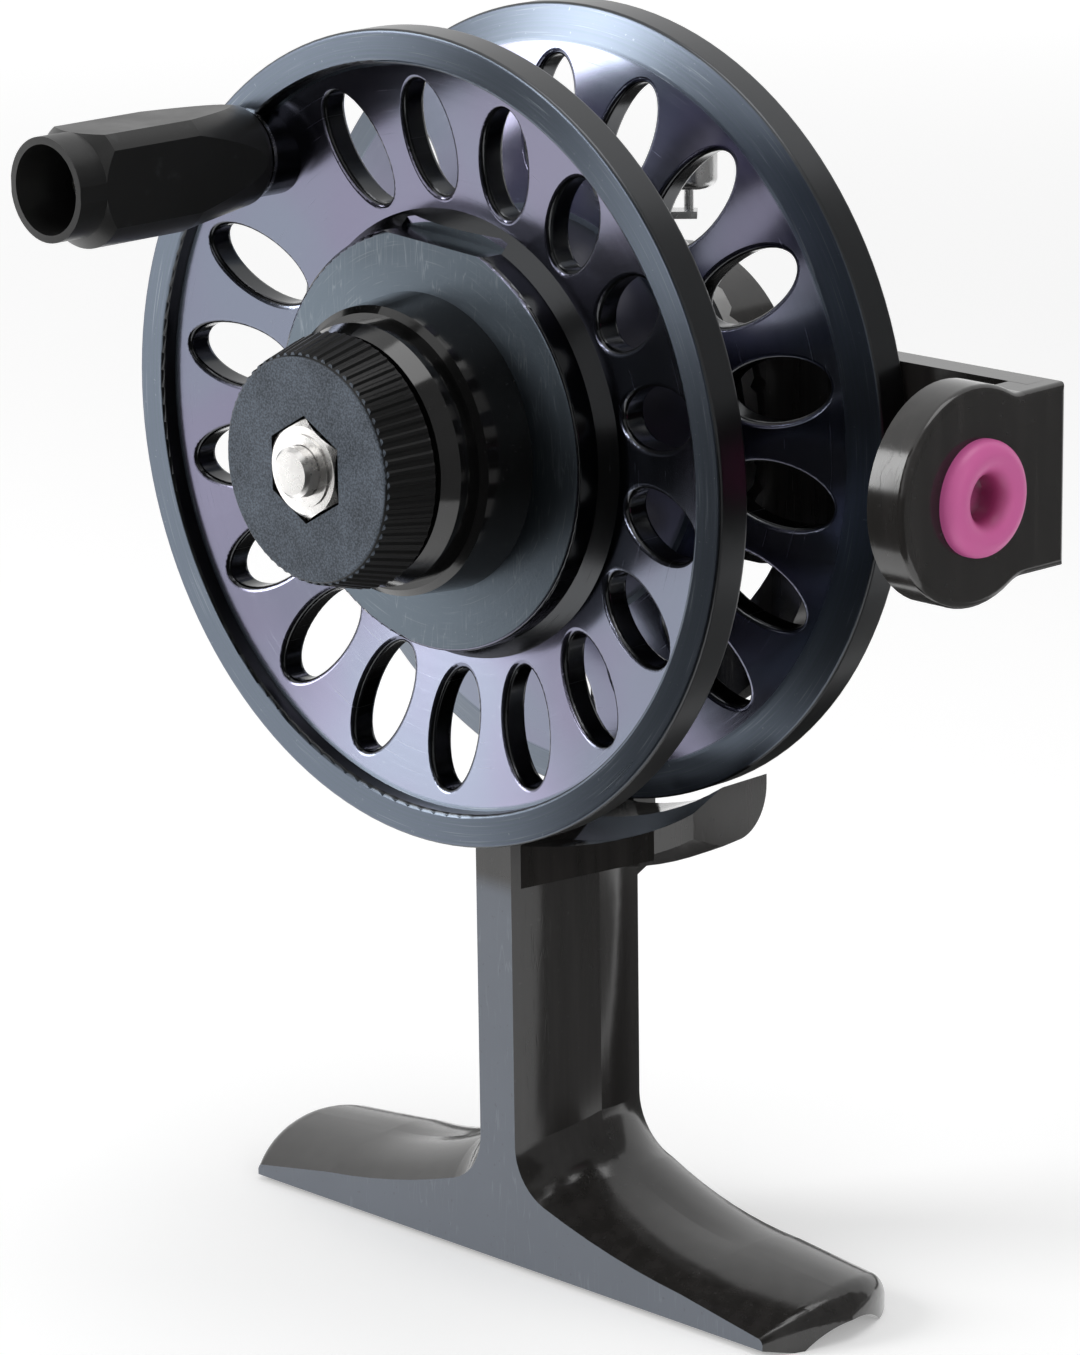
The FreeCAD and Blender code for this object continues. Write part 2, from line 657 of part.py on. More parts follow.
chord_side = chord_half + v.fit_gap
chord_out = v.boss_radius + v.fit_gap
chord_sketch = outline(new_sketch(front_flange, "XZ_Plane", -v.boss_setback), [
    polar(v.chord_height, chord_at, -chord_side), polar(chord_out, chord_at, -chord_side),
    polar(chord_out, chord_at, chord_side), polar(v.chord_height, chord_at, chord_side)])
pocket(front_flange, chord_sketch, v.chord_depth)
screw_holes(front_flange, [
    (screw_front - v.lip_thickness / 2, ZERO), (screw_front - v.lip_thickness / 2, screw_bore),
    (spigot_end + OVER, screw_bore), (spigot_end + OVER, ZERO)])

rear_bearing_back = v.spool_width - v.rear_bearing_inset
rear_bearing_front = rear_bearing_back - v.bearing_width
rear_flange = new_body("spool_rear_flange", turn=flange_turn)
turned(rear_flange, [
    (v.spool_width, v.flange_radius),
    (v.spool_width, rim_inner),
    (v.spool_width - v.recess_step, rim_inner),
    (v.spool_width - web_face(boss_foot), boss_foot),
    (v.spool_width - web_face(boss_foot) + v.boss_flare, v.boss_radius),
    (rear_hub_face, v.boss_radius),
    (rear_hub_face, v.bearing_lip),
    (rear_bearing_back, v.bearing_lip),
    (rear_bearing_back, v.bearing_radius + v.fit_gap),
    (v.spool_width - spigot_end, v.bearing_radius + v.fit_gap),
    (v.spool_width - spigot_end, v.spigot_radius),
    (v.spool_width - arbor_seat, v.spigot_radius),
    (v.spool_width - arbor_seat, v.arbor_radius),
    (v.spool_width - v.recess_step - v.web_thickness, rim_inner),
    (v.spool_width - v.rim_depth, v.flange_radius),
])
rounded(rear_flange, v.rim_round, any_of(
    circle_at(v.spool_width, v.flange_radius), circle_at(v.spool_width, rim_inner),
    circle_at(v.spool_width - v.rim_depth, v.flange_radius)))
petals(rear_flange, v.petal_count, -v.spool_width, None)
rounded(rear_flange, v.petal_round, petal_lip)
head_cone = v.spool_screw_head - v.spool_screw_radius
screw_holes(rear_flange, [
    (v.spool_width - spigot_end - OVER, ZERO),
    (v.spool_width - spigot_end - OVER, screw_bore),
    (rear_hub_face - head_cone - v.fit_gap, screw_bore),
    (rear_hub_face, v.spool_screw_head + 2 * v.fit_gap),
    (rear_hub_face + OVER, v.spool_screw_head + 2 * v.fit_gap),
    (rear_hub_face + OVER, ZERO)])

arbor = new_body("spool_arbor", turn=flange_turn)
arbor_back = v.spool_width - arbor_seat
turned(arbor, [
    (arbor_seat, v.spigot_radius + v.fit_gap),
    (arbor_seat, v.arbor_radius),
    (arbor_back, v.arbor_radius),
    (arbor_back, v.spigot_radius + v.fit_gap),
    (arbor_back - v.spigot_length - v.fit_gap, v.spigot_radius + v.fit_gap),
    (arbor_back - v.spigot_length - v.fit_gap, v.arbor_bore),
    (spigot_end + v.fit_gap, v.arbor_bore),
    (spigot_end + v.fit_gap, v.spigot_radius + v.fit_gap),
])
screw_holes(arbor, [
    (arbor_seat - OVER, ZERO), (arbor_seat - OVER, screw_bore),
    (arbor_back + OVER, screw_bore), (arbor_back + OVER, ZERO)])

spool_screws = new_body("spool_screws", turn=flange_turn)
screw = turned(spool_screws, [
    (screw_front, ZERO), (screw_front, v.spool_screw_radius),
    (rear_hub_face - head_cone, v.spool_screw_radius),
    (rear_hub_face, v.spool_screw_head), (rear_hub_face, ZERO)], v.spool_screw_circle)
socket_sketch = hexagon_in(new_sketch(spool_screws, "XZ_Plane", -rear_hub_face),
                           v.socket_flats, ZERO, v.spool_screw_circle)
socket = pocket(spool_screws, socket_sketch, v.socket_depth, flip=True)
ring_of(spool_screws, [screw, socket], v.spool_screw_count)

ratchet = washer("click_ratchet_ring", rear_hub_face, v.spool_width, v.ratchet_inner,
                 v.boss_radius - v.fit_gap, turn=flange_turn)
notch_half = math.pi * v.ratchet_inner / v.ratchet_teeth / 2
notch_sketch = outline(new_sketch(ratchet, "YZ_Plane", v.boss_radius + OVER), [
    (v.spool_width - v.ratchet_notch, ZERO),
    (v.spool_width + v.ratchet_notch, 2 * notch_half),
    (v.spool_width + v.ratchet_notch, -2 * notch_half)])
notch = pocket(ratchet, notch_sketch, v.boss_radius + 2 * OVER - v.ratchet_inner)
ring_of(ratchet, [notch], v.ratchet_teeth)

# Hub cap, a stepped ring on the front boss.
cap_seat = v.boss_setback + v.cap_seat_length
hub_cap = new_body("hub_cap")
turned(hub_cap, [
    (cap_seat, v.cap_bore),
    (cap_seat, v.cap_seat_radius),
    (v.boss_setback, v.cap_seat_radius),
    (v.boss_setback, v.cap_radius),
    (v.cap_step_depth, v.cap_step_radius),
    (v.cap_edge_depth, v.cap_edge_radius),
    (v.cap_edge_depth, v.cap_collar_radius),
    (v.cap_collar_depth, v.cap_collar_radius),
    (v.cap_lip_depth, v.cap_lip_radius),
    (v.cap_lip_depth, v.cap_bore),
])

# Bearings: two rings and their balls, front and rear.
axle_bore = v.axle_radius + v.run_gap


def bearing(prefix, front):
    """One bearing of two grooved rings and a set of balls."""
    back = front + v.bearing_width
    middle = front + v.bearing_width / 2
    pitch = (axle_bore + v.bearing_radius) / 2
    groove = v.ball_radius + v.run_gap
    inner_face = axle_bore + v.ring_wall
    outer_face = v.bearing_radius - v.ring_wall
    inner_half = root(groove * groove - (pitch - inner_face) * (pitch - inner_face))
    outer_half = root(groove * groove - (outer_face - pitch) * (outer_face - pitch))
    outer = new_body(prefix + "_bearing_outer_ring")
    turned(outer, [
        (front, v.bearing_radius), (front, outer_face),
        (middle - outer_half, outer_face, groove, -1), (middle + outer_half, outer_face),
        (back, outer_face), (back, v.bearing_radius)])
    inner = new_body(prefix + "_bearing_inner_ring")
    turned(inner, [
        (front, axle_bore), (front, inner_face),
        (middle - inner_half, inner_face, groove, 1), (middle + inner_half, inner_face),
        (back, inner_face), (back, axle_bore)])
    balls = []
    for index in range(int(v.ball_count.value)):
        ball = doc.addObject("Part::Sphere", prefix + "_ball")
        bind(ball, "Radius", v.ball_radius)
        angle = index * 360 / v.ball_count
        x, height = polar(pitch, angle)
        place(ball, x, middle, height)
        balls.append(ball)
    group = doc.addObject("Part::Compound", prefix + "_bearing_balls")
    group.Links = balls
    group.Label = prefix + "_bearing_balls"
    NODES.append(group)


bearing("front", front_lip_back)
bearing("rear", rear_bearing_front)
washer("bearing_spacer", front_lip_back + v.bearing_width + v.run_gap,
       rear_bearing_front - v.run_gap, axle_bore, axle_bore + v.spacer_wall)
washer("rear_stand_off", rear_bearing_back + v.run_gap, v.plate_depth - v.run_gap,
       axle_bore, axle_bore + v.spacer_wall)

# Axle: a fixed bolt, its hexagon head in the rear housing.
lock_front = v.plate_depth + v.plate_thickness
head_front = lock_front + v.lock_washer_height
axle = new_body("axle")
turned(axle, [
    (v.axle_front, ZERO),
    (v.axle_front, v.axle_radius - v.axle_chamfer),
    (v.axle_front + v.axle_chamfer, v.axle_radius),
    (head_front, v.axle_radius),
    (head_front, ZERO)])
head_sketch = hexagon_in(new_sketch(axle, "XZ_Plane", -head_front), v.head_flats)
pad(axle, head_sketch, v.head_height, flip=True)
washer("axle_lock_washer", lock_front, head_front, axle_bore, v.lock_washer_radius)

# Brake stack in front of the front bearing.
washer("friction_washer", v.drag_floor - v.friction_thickness, v.drag_floor,
       v.friction_inner, v.drag_recess - v.washer_side_gap)
thrust_back = v.drag_floor - v.friction_thickness - v.face_gap
thrust_front = thrust_back - v.thrust_thickness
washer("thrust_washer", thrust_front, thrust_back, axle_bore,
       v.drag_recess - v.washer_side_gap)
spring_back = thrust_front - v.spring_gap
spring_front = spring_back - v.spring_wall - v.spring_rise
spring_washer = new_body("drag_spring_washer")
spring_bore = v.axle_radius + v.spring_bore_gap
turned(spring_washer, [
    (spring_back, v.spring_radius), (spring_back - v.spring_wall, v.spring_radius),
    (spring_front, spring_bore), (spring_front + v.spring_wall, spring_bore)])
skirt_radius = v.cap_bore - v.knob_skirt_gap
push_front = spring_front - v.push_thickness
washer("push_washer", push_front, spring_front, axle_bore + v.run_gap,
       skirt_radius - v.washer_side_gap)

# Brake knob with a nut in its face.
nut_front = v.knob_front - v.nut_proud
nut_back = nut_front + v.nut_height
skirt_back = push_front - v.face_gap
knob_bore = v.axle_radius + v.knob_bore_gap
knob = new_body("drag_knob")
turned(knob, [
    (skirt_back, skirt_radius), (v.knob_back, skirt_radius),
    (v.knob_back, v.knob_radius), (v.knob_front, v.knob_front_radius),
    (v.knob_front, knob_bore), (nut_back + v.knob_skirt_wall, knob_bore),
    (nut_back + v.knob_skirt_wall, skirt_radius - v.knob_skirt_wall),
    (skirt_back, skirt_radius - v.knob_skirt_wall)])
rounded(knob, v.knob_round, circle_at(v.knob_front, v.knob_front_radius))
trap_sketch = hexagon_in(new_sketch(knob, "XZ_Plane", -v.knob_front),
                         v.head_flats + 2 * v.nut_trap_gap, upright=True)
pocket(knob, trap_sketch, v.nut_height - v.nut_proud + v.fit_gap)

nut = new_body("hex_nut")
pad(nut, hexagon_in(new_sketch(nut, "XZ_Plane", -nut_back), v.head_flats, upright=True),
    v.nut_height)
corner = v.head_flats / math.sqrt(3.0)
turned(nut, [
    (nut_front, v.head_flats / 2), (nut_front - OVER, v.head_flats / 2),
    (nut_front - OVER, corner + OVER), (nut_front + v.nut_chamfer, corner + OVER),
    (nut_front + v.nut_chamfer, corner)], kind="Groove")
turned(nut, [
    (nut_front + OVER, axle_bore), (nut_front - v.nut_ring_height, axle_bore),
    (nut_front - v.nut_ring_height, v.nut_ring_radius),
    (nut_front + OVER, v.nut_ring_radius)])
pocket(nut, circle_in(new_sketch(nut, "XZ_Plane", -(nut_front - OVER)), axle_bore),
       v.nut_height + 2 * OVER)

# Handle: a tube grip that turns on a sleeve, held by a screw in the front flange.
at_handle_x, at_handle_z = polar(v.handle_circle, v.handle_angle)


def handle_body(label):
    return new_body(label, x=at_handle_x, height=at_handle_z)


sleeve_bore = v.handle_screw_radius + v.fit_gap
head_back = -v.sleeve_length
grip_bore = v.sleeve_radius + v.run_gap
grip_back = -(v.handle_washer_height + v.face_gap)
sleeve = handle_body("handle_sleeve")
turned(sleeve, [(head_back, sleeve_bore), (ZERO, sleeve_bore),
                (ZERO, v.sleeve_radius), (head_back, v.sleeve_radius)])
handle_washer = handle_body("handle_washer")
turned(handle_washer, [
    (-v.handle_washer_height, grip_bore), (ZERO, grip_bore),
    (ZERO, v.handle_pad_radius), (-v.handle_washer_height, v.handle_pad_radius)])
handle_screw = handle_body("handle_screw")
dome = v.handle_head_height / 2
turned(handle_screw, [
    (v.handle_screw_end, ZERO), (v.handle_screw_end, v.handle_screw_radius),
    (head_back, v.handle_screw_radius), (head_back, v.handle_head_radius),
    (head_back - dome, v.handle_head_radius),
    (head_back - v.handle_head_height, v.handle_head_radius - dome),
    (head_back - v.handle_head_height, ZERO)])
slot_half = v.cross_width / 2
head_front_face = head_back - v.handle_head_height
for long_x, long_z in ((v.cross_reach, slot_half), (slot_half, v.cross_reach)):
    slot_sketch = outline(new_sketch(handle_screw, "XZ_Plane", -head_front_face), [
        (long_x, long_z), (-long_x, long_z), (-long_x, -long_z), (long_x, -long_z)])
    pocket(handle_screw, slot_sketch, v.cross_depth)

grip = handle_body("handle_grip")
turned(grip, [
    (grip_back, grip_bore),
    (grip_back, v.grip_base_radius),
    (v.grip_belly_back, v.grip_belly_radius),
    (v.grip_belly_front, v.grip_belly_radius),
    (v.grip_belly_front - v.grip_belly_slope, v.grip_end_radius),
    (v.grip_front, v.grip_end_radius),
    (v.grip_front, v.grip_end_radius - v.grip_wall),
    (v.grip_floor, v.grip_end_radius - v.grip_wall),
    (v.grip_floor, grip_bore)])
rounded(grip, v.grip_base_round, circle_at(grip_back, v.grip_base_radius))
side_out = v.grip_belly_radius + OVER
for side in (1, -1):
    flat_sketch = outline(new_sketch(grip, "XZ_Plane", -grip_back), [
        (side * v.grip_side, -side_out), (side * side_out, -side_out),
        (side * side_out, side_out), (side * v.grip_side, side_out)])
    pocket(grip, flat_sketch, grip_back - v.grip_front, flip=True)
top_sketch = outline(new_sketch(grip, "XZ_Plane", -grip_back), [
    (-side_out, v.grip_end_radius), (side_out, v.grip_end_radius),
    (side_out, side_out), (-side_out, side_out)])
pocket(grip, top_sketch, grip_back - v.grip_front, flip=True)

# Frame moulding: stem and foot taper from the parting plane to both faces.
frame = new_body("frame")
below_rim = v.flange_radius + v.spool_clearance
stem_top = below_rim + v.stem_drop


def moulding_outline(at):
    """Stem and foot at one depth. Heights are given over the seat."""
    slope = (at["crest_z"] - at["end_z"]) / (at["end_x"] - v.crest_x)
    end_top = at["end_z"] + slope * at["end_round"]
    sweep, fillet, tip = (at["crest_round"], 1), (at["root_round"], 1), (at["end_round"], -1)

    def side(sign):
        return [
            (sign * at["half"], -root(stem_top * stem_top - at["half"] * at["half"])),
            (sign * at["half"], at["knee"] - v.axle_height),
            (sign * at["root_x"], at["root_z"] - v.axle_height),
            (sign * v.crest_x, at["crest_z"] - v.axle_height),
            (sign * (at["end_x"] - at["end_round"]), end_top - v.axle_height),
            (sign * at["end_x"], at["end_z"] - at["end_round"] - v.axle_height),
            (sign * at["end_x"], at["edge"] - v.axle_height)]
    right, left = side(1), side(-1)
    corners = [
        right[0], right[1] + fillet, right[2] + sweep, right[3], right[4] + tip, right[5],
        right[6], left[6], left[5] + tip, left[4], left[3] + sweep, left[2] + fillet,
        left[1], left[0] + (stem_top, 1)]
    return outline(new_sketch(frame, "XZ_Plane", -at["depth"]), corners)


def crowned(first, second):
    """Section halfway between two, standing out by the crown."""
    made = {name: (first[name] + second[name]) / 2 for name in first}
    for name in ("half", "root_x", "root_z", "crest_z", "end_x", "end_z"):
        made[name] = made[name] + v.crown
    return made


# Line guard, a curved finger below the spool on the guide's side.
guard_rear_inner = below_rim
ramp_sketch = outline(new_sketch(frame, "XZ_Plane", -v.guard_front), [
    (ZERO, -v.guard_front_inner, v.guard_front_inner, 1),
    (v.guard_ramp, -root(v.guard_front_inner * v.guard_front_inner
                         - v.guard_ramp * v.guard_ramp)),
    (v.guard_ramp, -root(v.guard_front_outer * v.guard_front_outer
                         - v.guard_ramp * v.guard_ramp) - v.guard_web_end),
    (ZERO, -v.guard_front_outer - v.guard_web)])
pad(frame, ramp_sketch, v.guard_front - v.guard_root_front)
bevel_sketch = outline(new_sketch(frame, "XY_Plane", v.guard_ramp - v.guard_front_inner), [
    (v.stem_front_half, v.guard_root_front),
    (v.stem_front_half, v.guard_root_front - OVER),
    (v.guard_ramp + OVER, v.guard_root_front - OVER),
    (v.guard_ramp + OVER, v.guard_front), (v.guard_ramp, v.guard_front)])
ramp_bottom = v.guard_front_outer + v.guard_web + OVER
pocket(frame, bevel_sketch, v.guard_ramp - v.guard_front_inner + ramp_bottom)
guard = turned(frame, [
    (v.guard_front, -v.guard_front_inner),
    (v.parting_depth, -guard_rear_inner),
    (v.guard_back, -guard_rear_inner),
    (v.guard_back, -(v.guard_outer - v.guard_round), v.guard_round, -1),
    (v.guard_back - v.guard_round, -v.guard_outer),
    (v.parting_depth - v.guard_lip, -v.guard_outer),
    (v.guard_front, -v.guard_front_outer)])
bind(guard, "Angle", v.guard_sweep)
guard.Reversed = True
trim_sketch = outline(new_sketch(frame, "XZ_Plane", OVER - v.guard_front), [
    (v.guard_end, -v.hub_radius), (v.guard_end, -v.guard_outer - OVER),
    (v.guard_outer, -v.guard_outer - OVER), (v.guard_outer, -v.hub_radius)])
pocket(frame, trim_sketch, v.guard_back - v.guard_front + 2 * OVER)

at_middle = {
    "depth": v.parting_depth, "half": v.stem_half, "knee": v.knee_middle,
    "root_x": v.root_middle_x, "root_z": v.root_middle_z, "root_round": v.root_middle_round,
    "crest_z": v.crest_middle_z, "crest_round": v.crest_middle_round,
    "end_x": v.foot_half, "end_z": v.foot_end_middle, "end_round": v.end_middle_round,
    "edge": v.foot_edge_middle}
at_front = {
    "depth": v.front_depth, "half": v.stem_front_half, "knee": v.knee_front,
    "root_x": v.root_front_x, "root_z": v.root_front_z, "root_round": v.root_front_round,
    "crest_z": v.crest_front_z, "crest_round": v.crest_front_round,
    "end_x": v.foot_front_half, "end_z": v.foot_end_front, "end_round": v.end_front_round,
    "edge": v.foot_edge_front}
at_rear = {
    "depth": v.rear_depth, "half": v.stem_rear_half, "knee": v.knee_rear,
    "root_x": v.root_rear_x, "root_z": v.root_rear_z, "root_round": v.root_rear_round,
    "crest_z": v.crest_rear_z, "crest_round": v.crest_rear_round,
    "end_x": v.foot_rear_half, "end_z": v.foot_end_rear, "end_round": v.end_rear_round,
    "edge": v.foot_edge_rear}
middle = moulding_outline(at_middle)
for face in (at_front, at_rear):
    steps = [moulding_outline(crowned(at_middle, face)), moulding_outline(face)]
    feature(frame, "AdditiveLoft", middle, Sections=[(step, [""]) for step in steps])

# Saddle along the rod and flat lands beside it.
foot_cut = 2 * (v.foot_half + OVER)
land_bottom = OVER - v.foot_edge_middle
saddle_sketch = circle_in(new_sketch(frame, "YZ_Plane"), v.saddle_radius, v.saddle_depth,
                          v.saddle_rise - v.saddle_radius - v.axle_height)
pocket(frame, saddle_sketch, foot_cut, both=True)
land_sketch = outline(new_sketch(frame, "YZ_Plane"), [
    (v.front_depth - OVER, -v.axle_height), (v.rear_depth + OVER, -v.axle_height),
    (v.rear_depth + OVER, -v.axle_height - land_bottom),
    (v.front_depth - OVER, -v.axle_height - land_bottom)])
pocket(frame, land_sketch, foot_cut, both=True)

# Back plate with hub disc, arm, middle strut and curved strut.
plate_back = v.plate_depth + v.plate_thickness


def plate_sketch():
    return new_sketch(frame, "XZ_Plane", -v.plate_depth)


pad(frame, circle_in(plate_sketch(), v.hub_radius), v.plate_thickness, flip=True)
arm_end = v.guide_face - v.guide_plate / 2
pad(frame, outline(plate_sketch(), [
    (ZERO, v.arm_top), (ZERO, -v.arm_bottom), (v.arm_bend, -v.arm_bottom),
    (arm_end, -v.arm_end_bottom), (arm_end, v.arm_top)]), v.plate_thickness, flip=True)
pad(frame, outline(plate_sketch(), [
    (-v.strut_half, ZERO), (-v.strut_half, -v.strut_end), (v.strut_half, -v.strut_end),
    (v.strut_half, ZERO)]), v.plate_thickness, flip=True)


def on_curve(angle):
    x, height = polar(v.curve_outer, angle)
    return v.curve_shift_x + x, v.curve_shift_z + height


pad(frame, outline(plate_sketch(), [
    polar(v.curve_inner, v.curve_start) + (v.curve_inner, -1),
    polar(v.curve_inner, v.curve_end),
    on_curve(v.curve_end) + (v.curve_outer, 1),
    on_curve(v.curve_start)]), v.plate_thickness, flip=True)
flare_back = plate_back - v.flare_inset
flare_sketch = outline(new_sketch(frame, "YZ_Plane"), [
    (v.plate_depth - OVER, -below_rim - OVER), (v.plate_depth + OVER, -below_rim - OVER),
    (flare_back, v.flare_land - v.strut_end), (flare_back, -v.flare_land - v.strut_end),
    (v.plate_depth - v.flare_sink, -v.strut_end - v.flare_height),
    (v.plate_depth - OVER, -v.strut_end - v.flare_height)])
pad(frame, flare_sketch, 2 * (v.strut_half - v.flare_inset), both=True)

# Guide plate at the arm's end with the seat of the guide ring.
guide_sketch = new_sketch(frame, "YZ_Plane", v.guide_face)
guide_top = root(v.guide_round * v.guide_round - v.guide_neck * v.guide_neck)
neck_depth = v.guide_depth + v.guide_neck
outline(guide_sketch, [
    (neck_depth, v.guide_height + guide_top, v.guide_round, 1),
    (v.guide_depth - v.guide_round, v.guide_height, v.guide_round, 1),
    (neck_depth, v.guide_height - guide_top),
    (plate_back, -v.arm_end_bottom), (plate_back, v.arm_top)])
pad(frame, guide_sketch, v.guide_plate, flip=True)


def guide_hollow(edge):
    """Picks the two edges along X where the rounded end meets the plate."""
    box = edge.BoundBox
    return (isinstance(edge.Curve, Part.Line) and abs(box.Center.y - neck_depth.value) < 0.01
            and box.YLength < 0.01 and box.ZLength < 0.01
            and abs(box.XMax - v.guide_face.value) < 0.01)


def guide_rim(edge):
    """Picks the outline of the guide plate's face."""
    box = edge.BoundBox
    return box.XMin > v.guide_face.value - 0.01


rounded(frame, v.guide_neck_round, guide_hollow)
rounded(frame, v.guide_edge_round, guide_rim)
seat_sketch = circle_in(new_sketch(frame, "YZ_Plane", v.guide_face + OVER), v.guide_seat,
                        v.guide_depth, v.guide_height)
pocket(frame, seat_sketch, v.guide_plate + 2 * OVER)

# Rear housing with screw posts and the seat of the click lever.
housing_sketch = circle_in(new_sketch(frame, "XZ_Plane", -plate_back), v.housing_radius)
circle_in(housing_sketch, v.housing_radius - v.housing_wall)
housing_depth = v.housing_back - plate_back
pad(frame, housing_sketch, housing_depth, flip=True)
post_sketch = circle_in(new_sketch(frame, "XZ_Plane", -plate_back), v.post_radius, ZERO,
                        -v.post_circle)
post = pad(frame, post_sketch, housing_depth, flip=True)
ring_of(frame, [post], v.post_count)
post_hole_sketch = circle_in(new_sketch(frame, "XZ_Plane", -v.housing_back),
                             v.cover_screw_radius + v.fit_gap, ZERO, -v.post_circle)
post_hole = pocket(frame, post_hole_sketch, v.cover_screw_length, flip=True)
ring_of(frame, [post_hole], v.post_count)
seat_top = v.lever_height - v.lever_gap
seat_base = v.housing_radius - v.housing_wall
seat_sketch = outline(new_sketch(frame, "XZ_Plane", -plate_back), [
    (v.pivot_x - v.seat_half, seat_top), (v.pivot_x - v.seat_half, ZERO + v.post_circle),
    (v.pivot_x + v.seat_half, seat_base), (v.pivot_x + v.seat_half, seat_top)])
pad(frame, seat_sketch, housing_depth - v.housing_wall / 4, flip=True)
pivot_hole = circle_in(new_sketch(frame, "XY_Plane", seat_top),
                       v.click_screw_radius + v.fit_gap, v.pivot_x, v.pivot_depth)
pocket(frame, pivot_hole, v.click_screw_length + v.click_hole_spare)
bore_sketch = circle_in(new_sketch(frame, "XZ_Plane", -plate_back - OVER),
                        v.axle_radius + v.fit_gap)
pocket(frame, bore_sketch, v.plate_thickness + 2 * OVER, flip=True)

cover = new_body("rear_cover")
turned(cover, [
    (v.housing_back, ZERO), (v.housing_back, v.housing_radius),
    (v.housing_back + v.cover_thickness / 2, v.housing_radius),
    (v.housing_back + v.cover_thickness, v.housing_radius - v.cover_thickness / 2),
    (v.housing_back + v.cover_thickness, ZERO)])
cover_hole = turned(cover, [
    (v.housing_back - OVER, ZERO),
    (v.housing_back - OVER, v.cover_screw_radius + v.fit_gap),
    (v.housing_back + v.cover_thickness + OVER, v.cover_screw_radius + v.fit_gap),
    (v.housing_back + v.cover_thickness + OVER, ZERO)], -v.post_circle, "Groove")
ring_of(cover, [cover_hole], v.post_count)
cover_screws = new_body("rear_cover_screws")
cover_back = v.housing_back + v.cover_thickness
cover_screw = turned(cover_screws, [
    (cover_back - v.cover_screw_length, ZERO),
    (cover_back - v.cover_screw_length, v.cover_screw_radius),
    (cover_back, v.cover_screw_radius), (cover_back, v.cover_screw_head),
    (cover_back + v.cover_head_height / 2, v.cover_screw_head),
    (cover_back + v.cover_head_height, v.cover_screw_head - v.cover_head_height / 2),
    (cover_back + v.cover_head_height, ZERO)], -v.post_circle)
ring_of(cover_screws, [cover_screw], v.post_count)

# Guide ring, a flared eye for the line.
guide_ring = doc.addObject("PartDesign::Body", "guide_ring")
guide_ring.Label = "guide_ring"
place(guide_ring, v.guide_face, v.guide_depth, v.guide_height)
NODES.append(guide_ring)
ring_sketch = new_sketch(guide_ring, "XZ_Plane")
ring_tube = v.guide_seat - v.fit_gap
ring_flare = v.ring_crest - v.ring_throat
ring_round = v.ring_flange - v.ring_crest
throat_front = v.ring_proud - ring_flare
outline(ring_sketch, [
    (-v.guide_plate - v.ring_back, v.ring_throat + v.ring_rear_flare),
    (throat_front - v.throat_length, v.ring_throat),
    (throat_front, v.ring_throat, ring_flare, 1),
    (v.ring_proud, v.ring_crest, ring_round, 1),
    (v.ring_proud - ring_round, v.ring_flange),
    (ZERO, v.ring_flange),
    (ZERO, ring_tube),
    (-v.guide_plate, ring_tube),
    (-v.guide_plate, ring_tube + v.ring_swage),
    (-v.guide_plate - v.ring_back, ring_tube)])
feature(guide_ring, "Revolution", ring_sketch, ReferenceAxis=(ring_sketch, ["H_Axis"]))

# Click lever with its knob, on an upright screw.
lever = doc.addObject("PartDesign::Body", "click_lever")
lever.Label = "click_lever"
place(lever, v.pivot_x, v.pivot_depth, v.lever_height)
NODES.append(lever)
reach_x = -v.pivot_x
reach_y = v.stub_depth - v.pivot_depth
reach = root(reach_x * reach_x + reach_y * reach_y)
tip_x = v.pawl_x - v.pivot_x
tip_y = v.pawl_depth - v.pivot_depth
tip_reach = root(tip_x * tip_x + tip_y * tip_y)


def lever_strip(to_x, to_y, length, end_half, extra):
    """A flat arm from the pivot to a point."""
    along_x, along_y = to_x / length, to_y / length
    half = v.lever_arm_half
    far_x, far_y = to_x + along_x * extra, to_y + along_y * extra
    sketch = outline(new_sketch(lever, "XY_Plane"), [
        (along_y * half, -along_x * half),
        (far_x + along_y * end_half, far_y - along_x * end_half),
        (far_x - along_y * end_half, far_y + along_x * end_half),
        (-along_y * half, along_x * half)])
    return pad(lever, sketch, v.lever_thickness)


pad(lever, circle_in(new_sketch(lever, "XY_Plane"), v.lever_eye), v.lever_thickness)
lever_strip(reach_x, reach_y, reach, v.lever_peg_half, v.lever_past_peg)
lever_strip(tip_x, tip_y, tip_reach, v.pawl_half, ZERO)
pocket(lever, circle_in(new_sketch(lever, "XY_Plane", v.lever_thickness),
                        v.click_screw_radius + v.run_gap), v.lever_thickness + OVER)
pad(lever, circle_in(new_sketch(lever, "XY_Plane", v.lever_thickness), v.stub_radius,
                     reach_x, reach_y), v.stub_length + v.stub_seat)

click_knob = doc.addObject("PartDesign::Body", "click_knob")
click_knob.Label = "click_knob"
knob_base = v.lever_height + v.lever_thickness + v.stub_length
place(click_knob, ZERO, v.stub_depth, knob_base)
NODES.append(click_knob)
knob_sketch = new_sketch(click_knob, "XZ_Plane")
knob_top = v.click_knob_height
stub_bottom = v.stub_seat + v.face_gap
outline(knob_sketch, [
    (v.stub_radius + v.fit_gap, ZERO),
    (v.click_knob_radius - v.click_knob_low_round, ZERO, v.click_knob_low_round, 1),
    (v.click_knob_radius, v.click_knob_low_round),
    (v.click_knob_radius, knob_top - v.click_knob_top_round, v.click_knob_top_round, 1),
    (v.click_knob_radius - v.click_knob_top_round, knob_top),
    (ZERO, knob_top),
    (ZERO, stub_bottom),
    (v.stub_radius + v.fit_gap, stub_bottom)])
feature(click_knob, "Revolution", knob_sketch, ReferenceAxis=(knob_sketch, ["V_Axis"]))

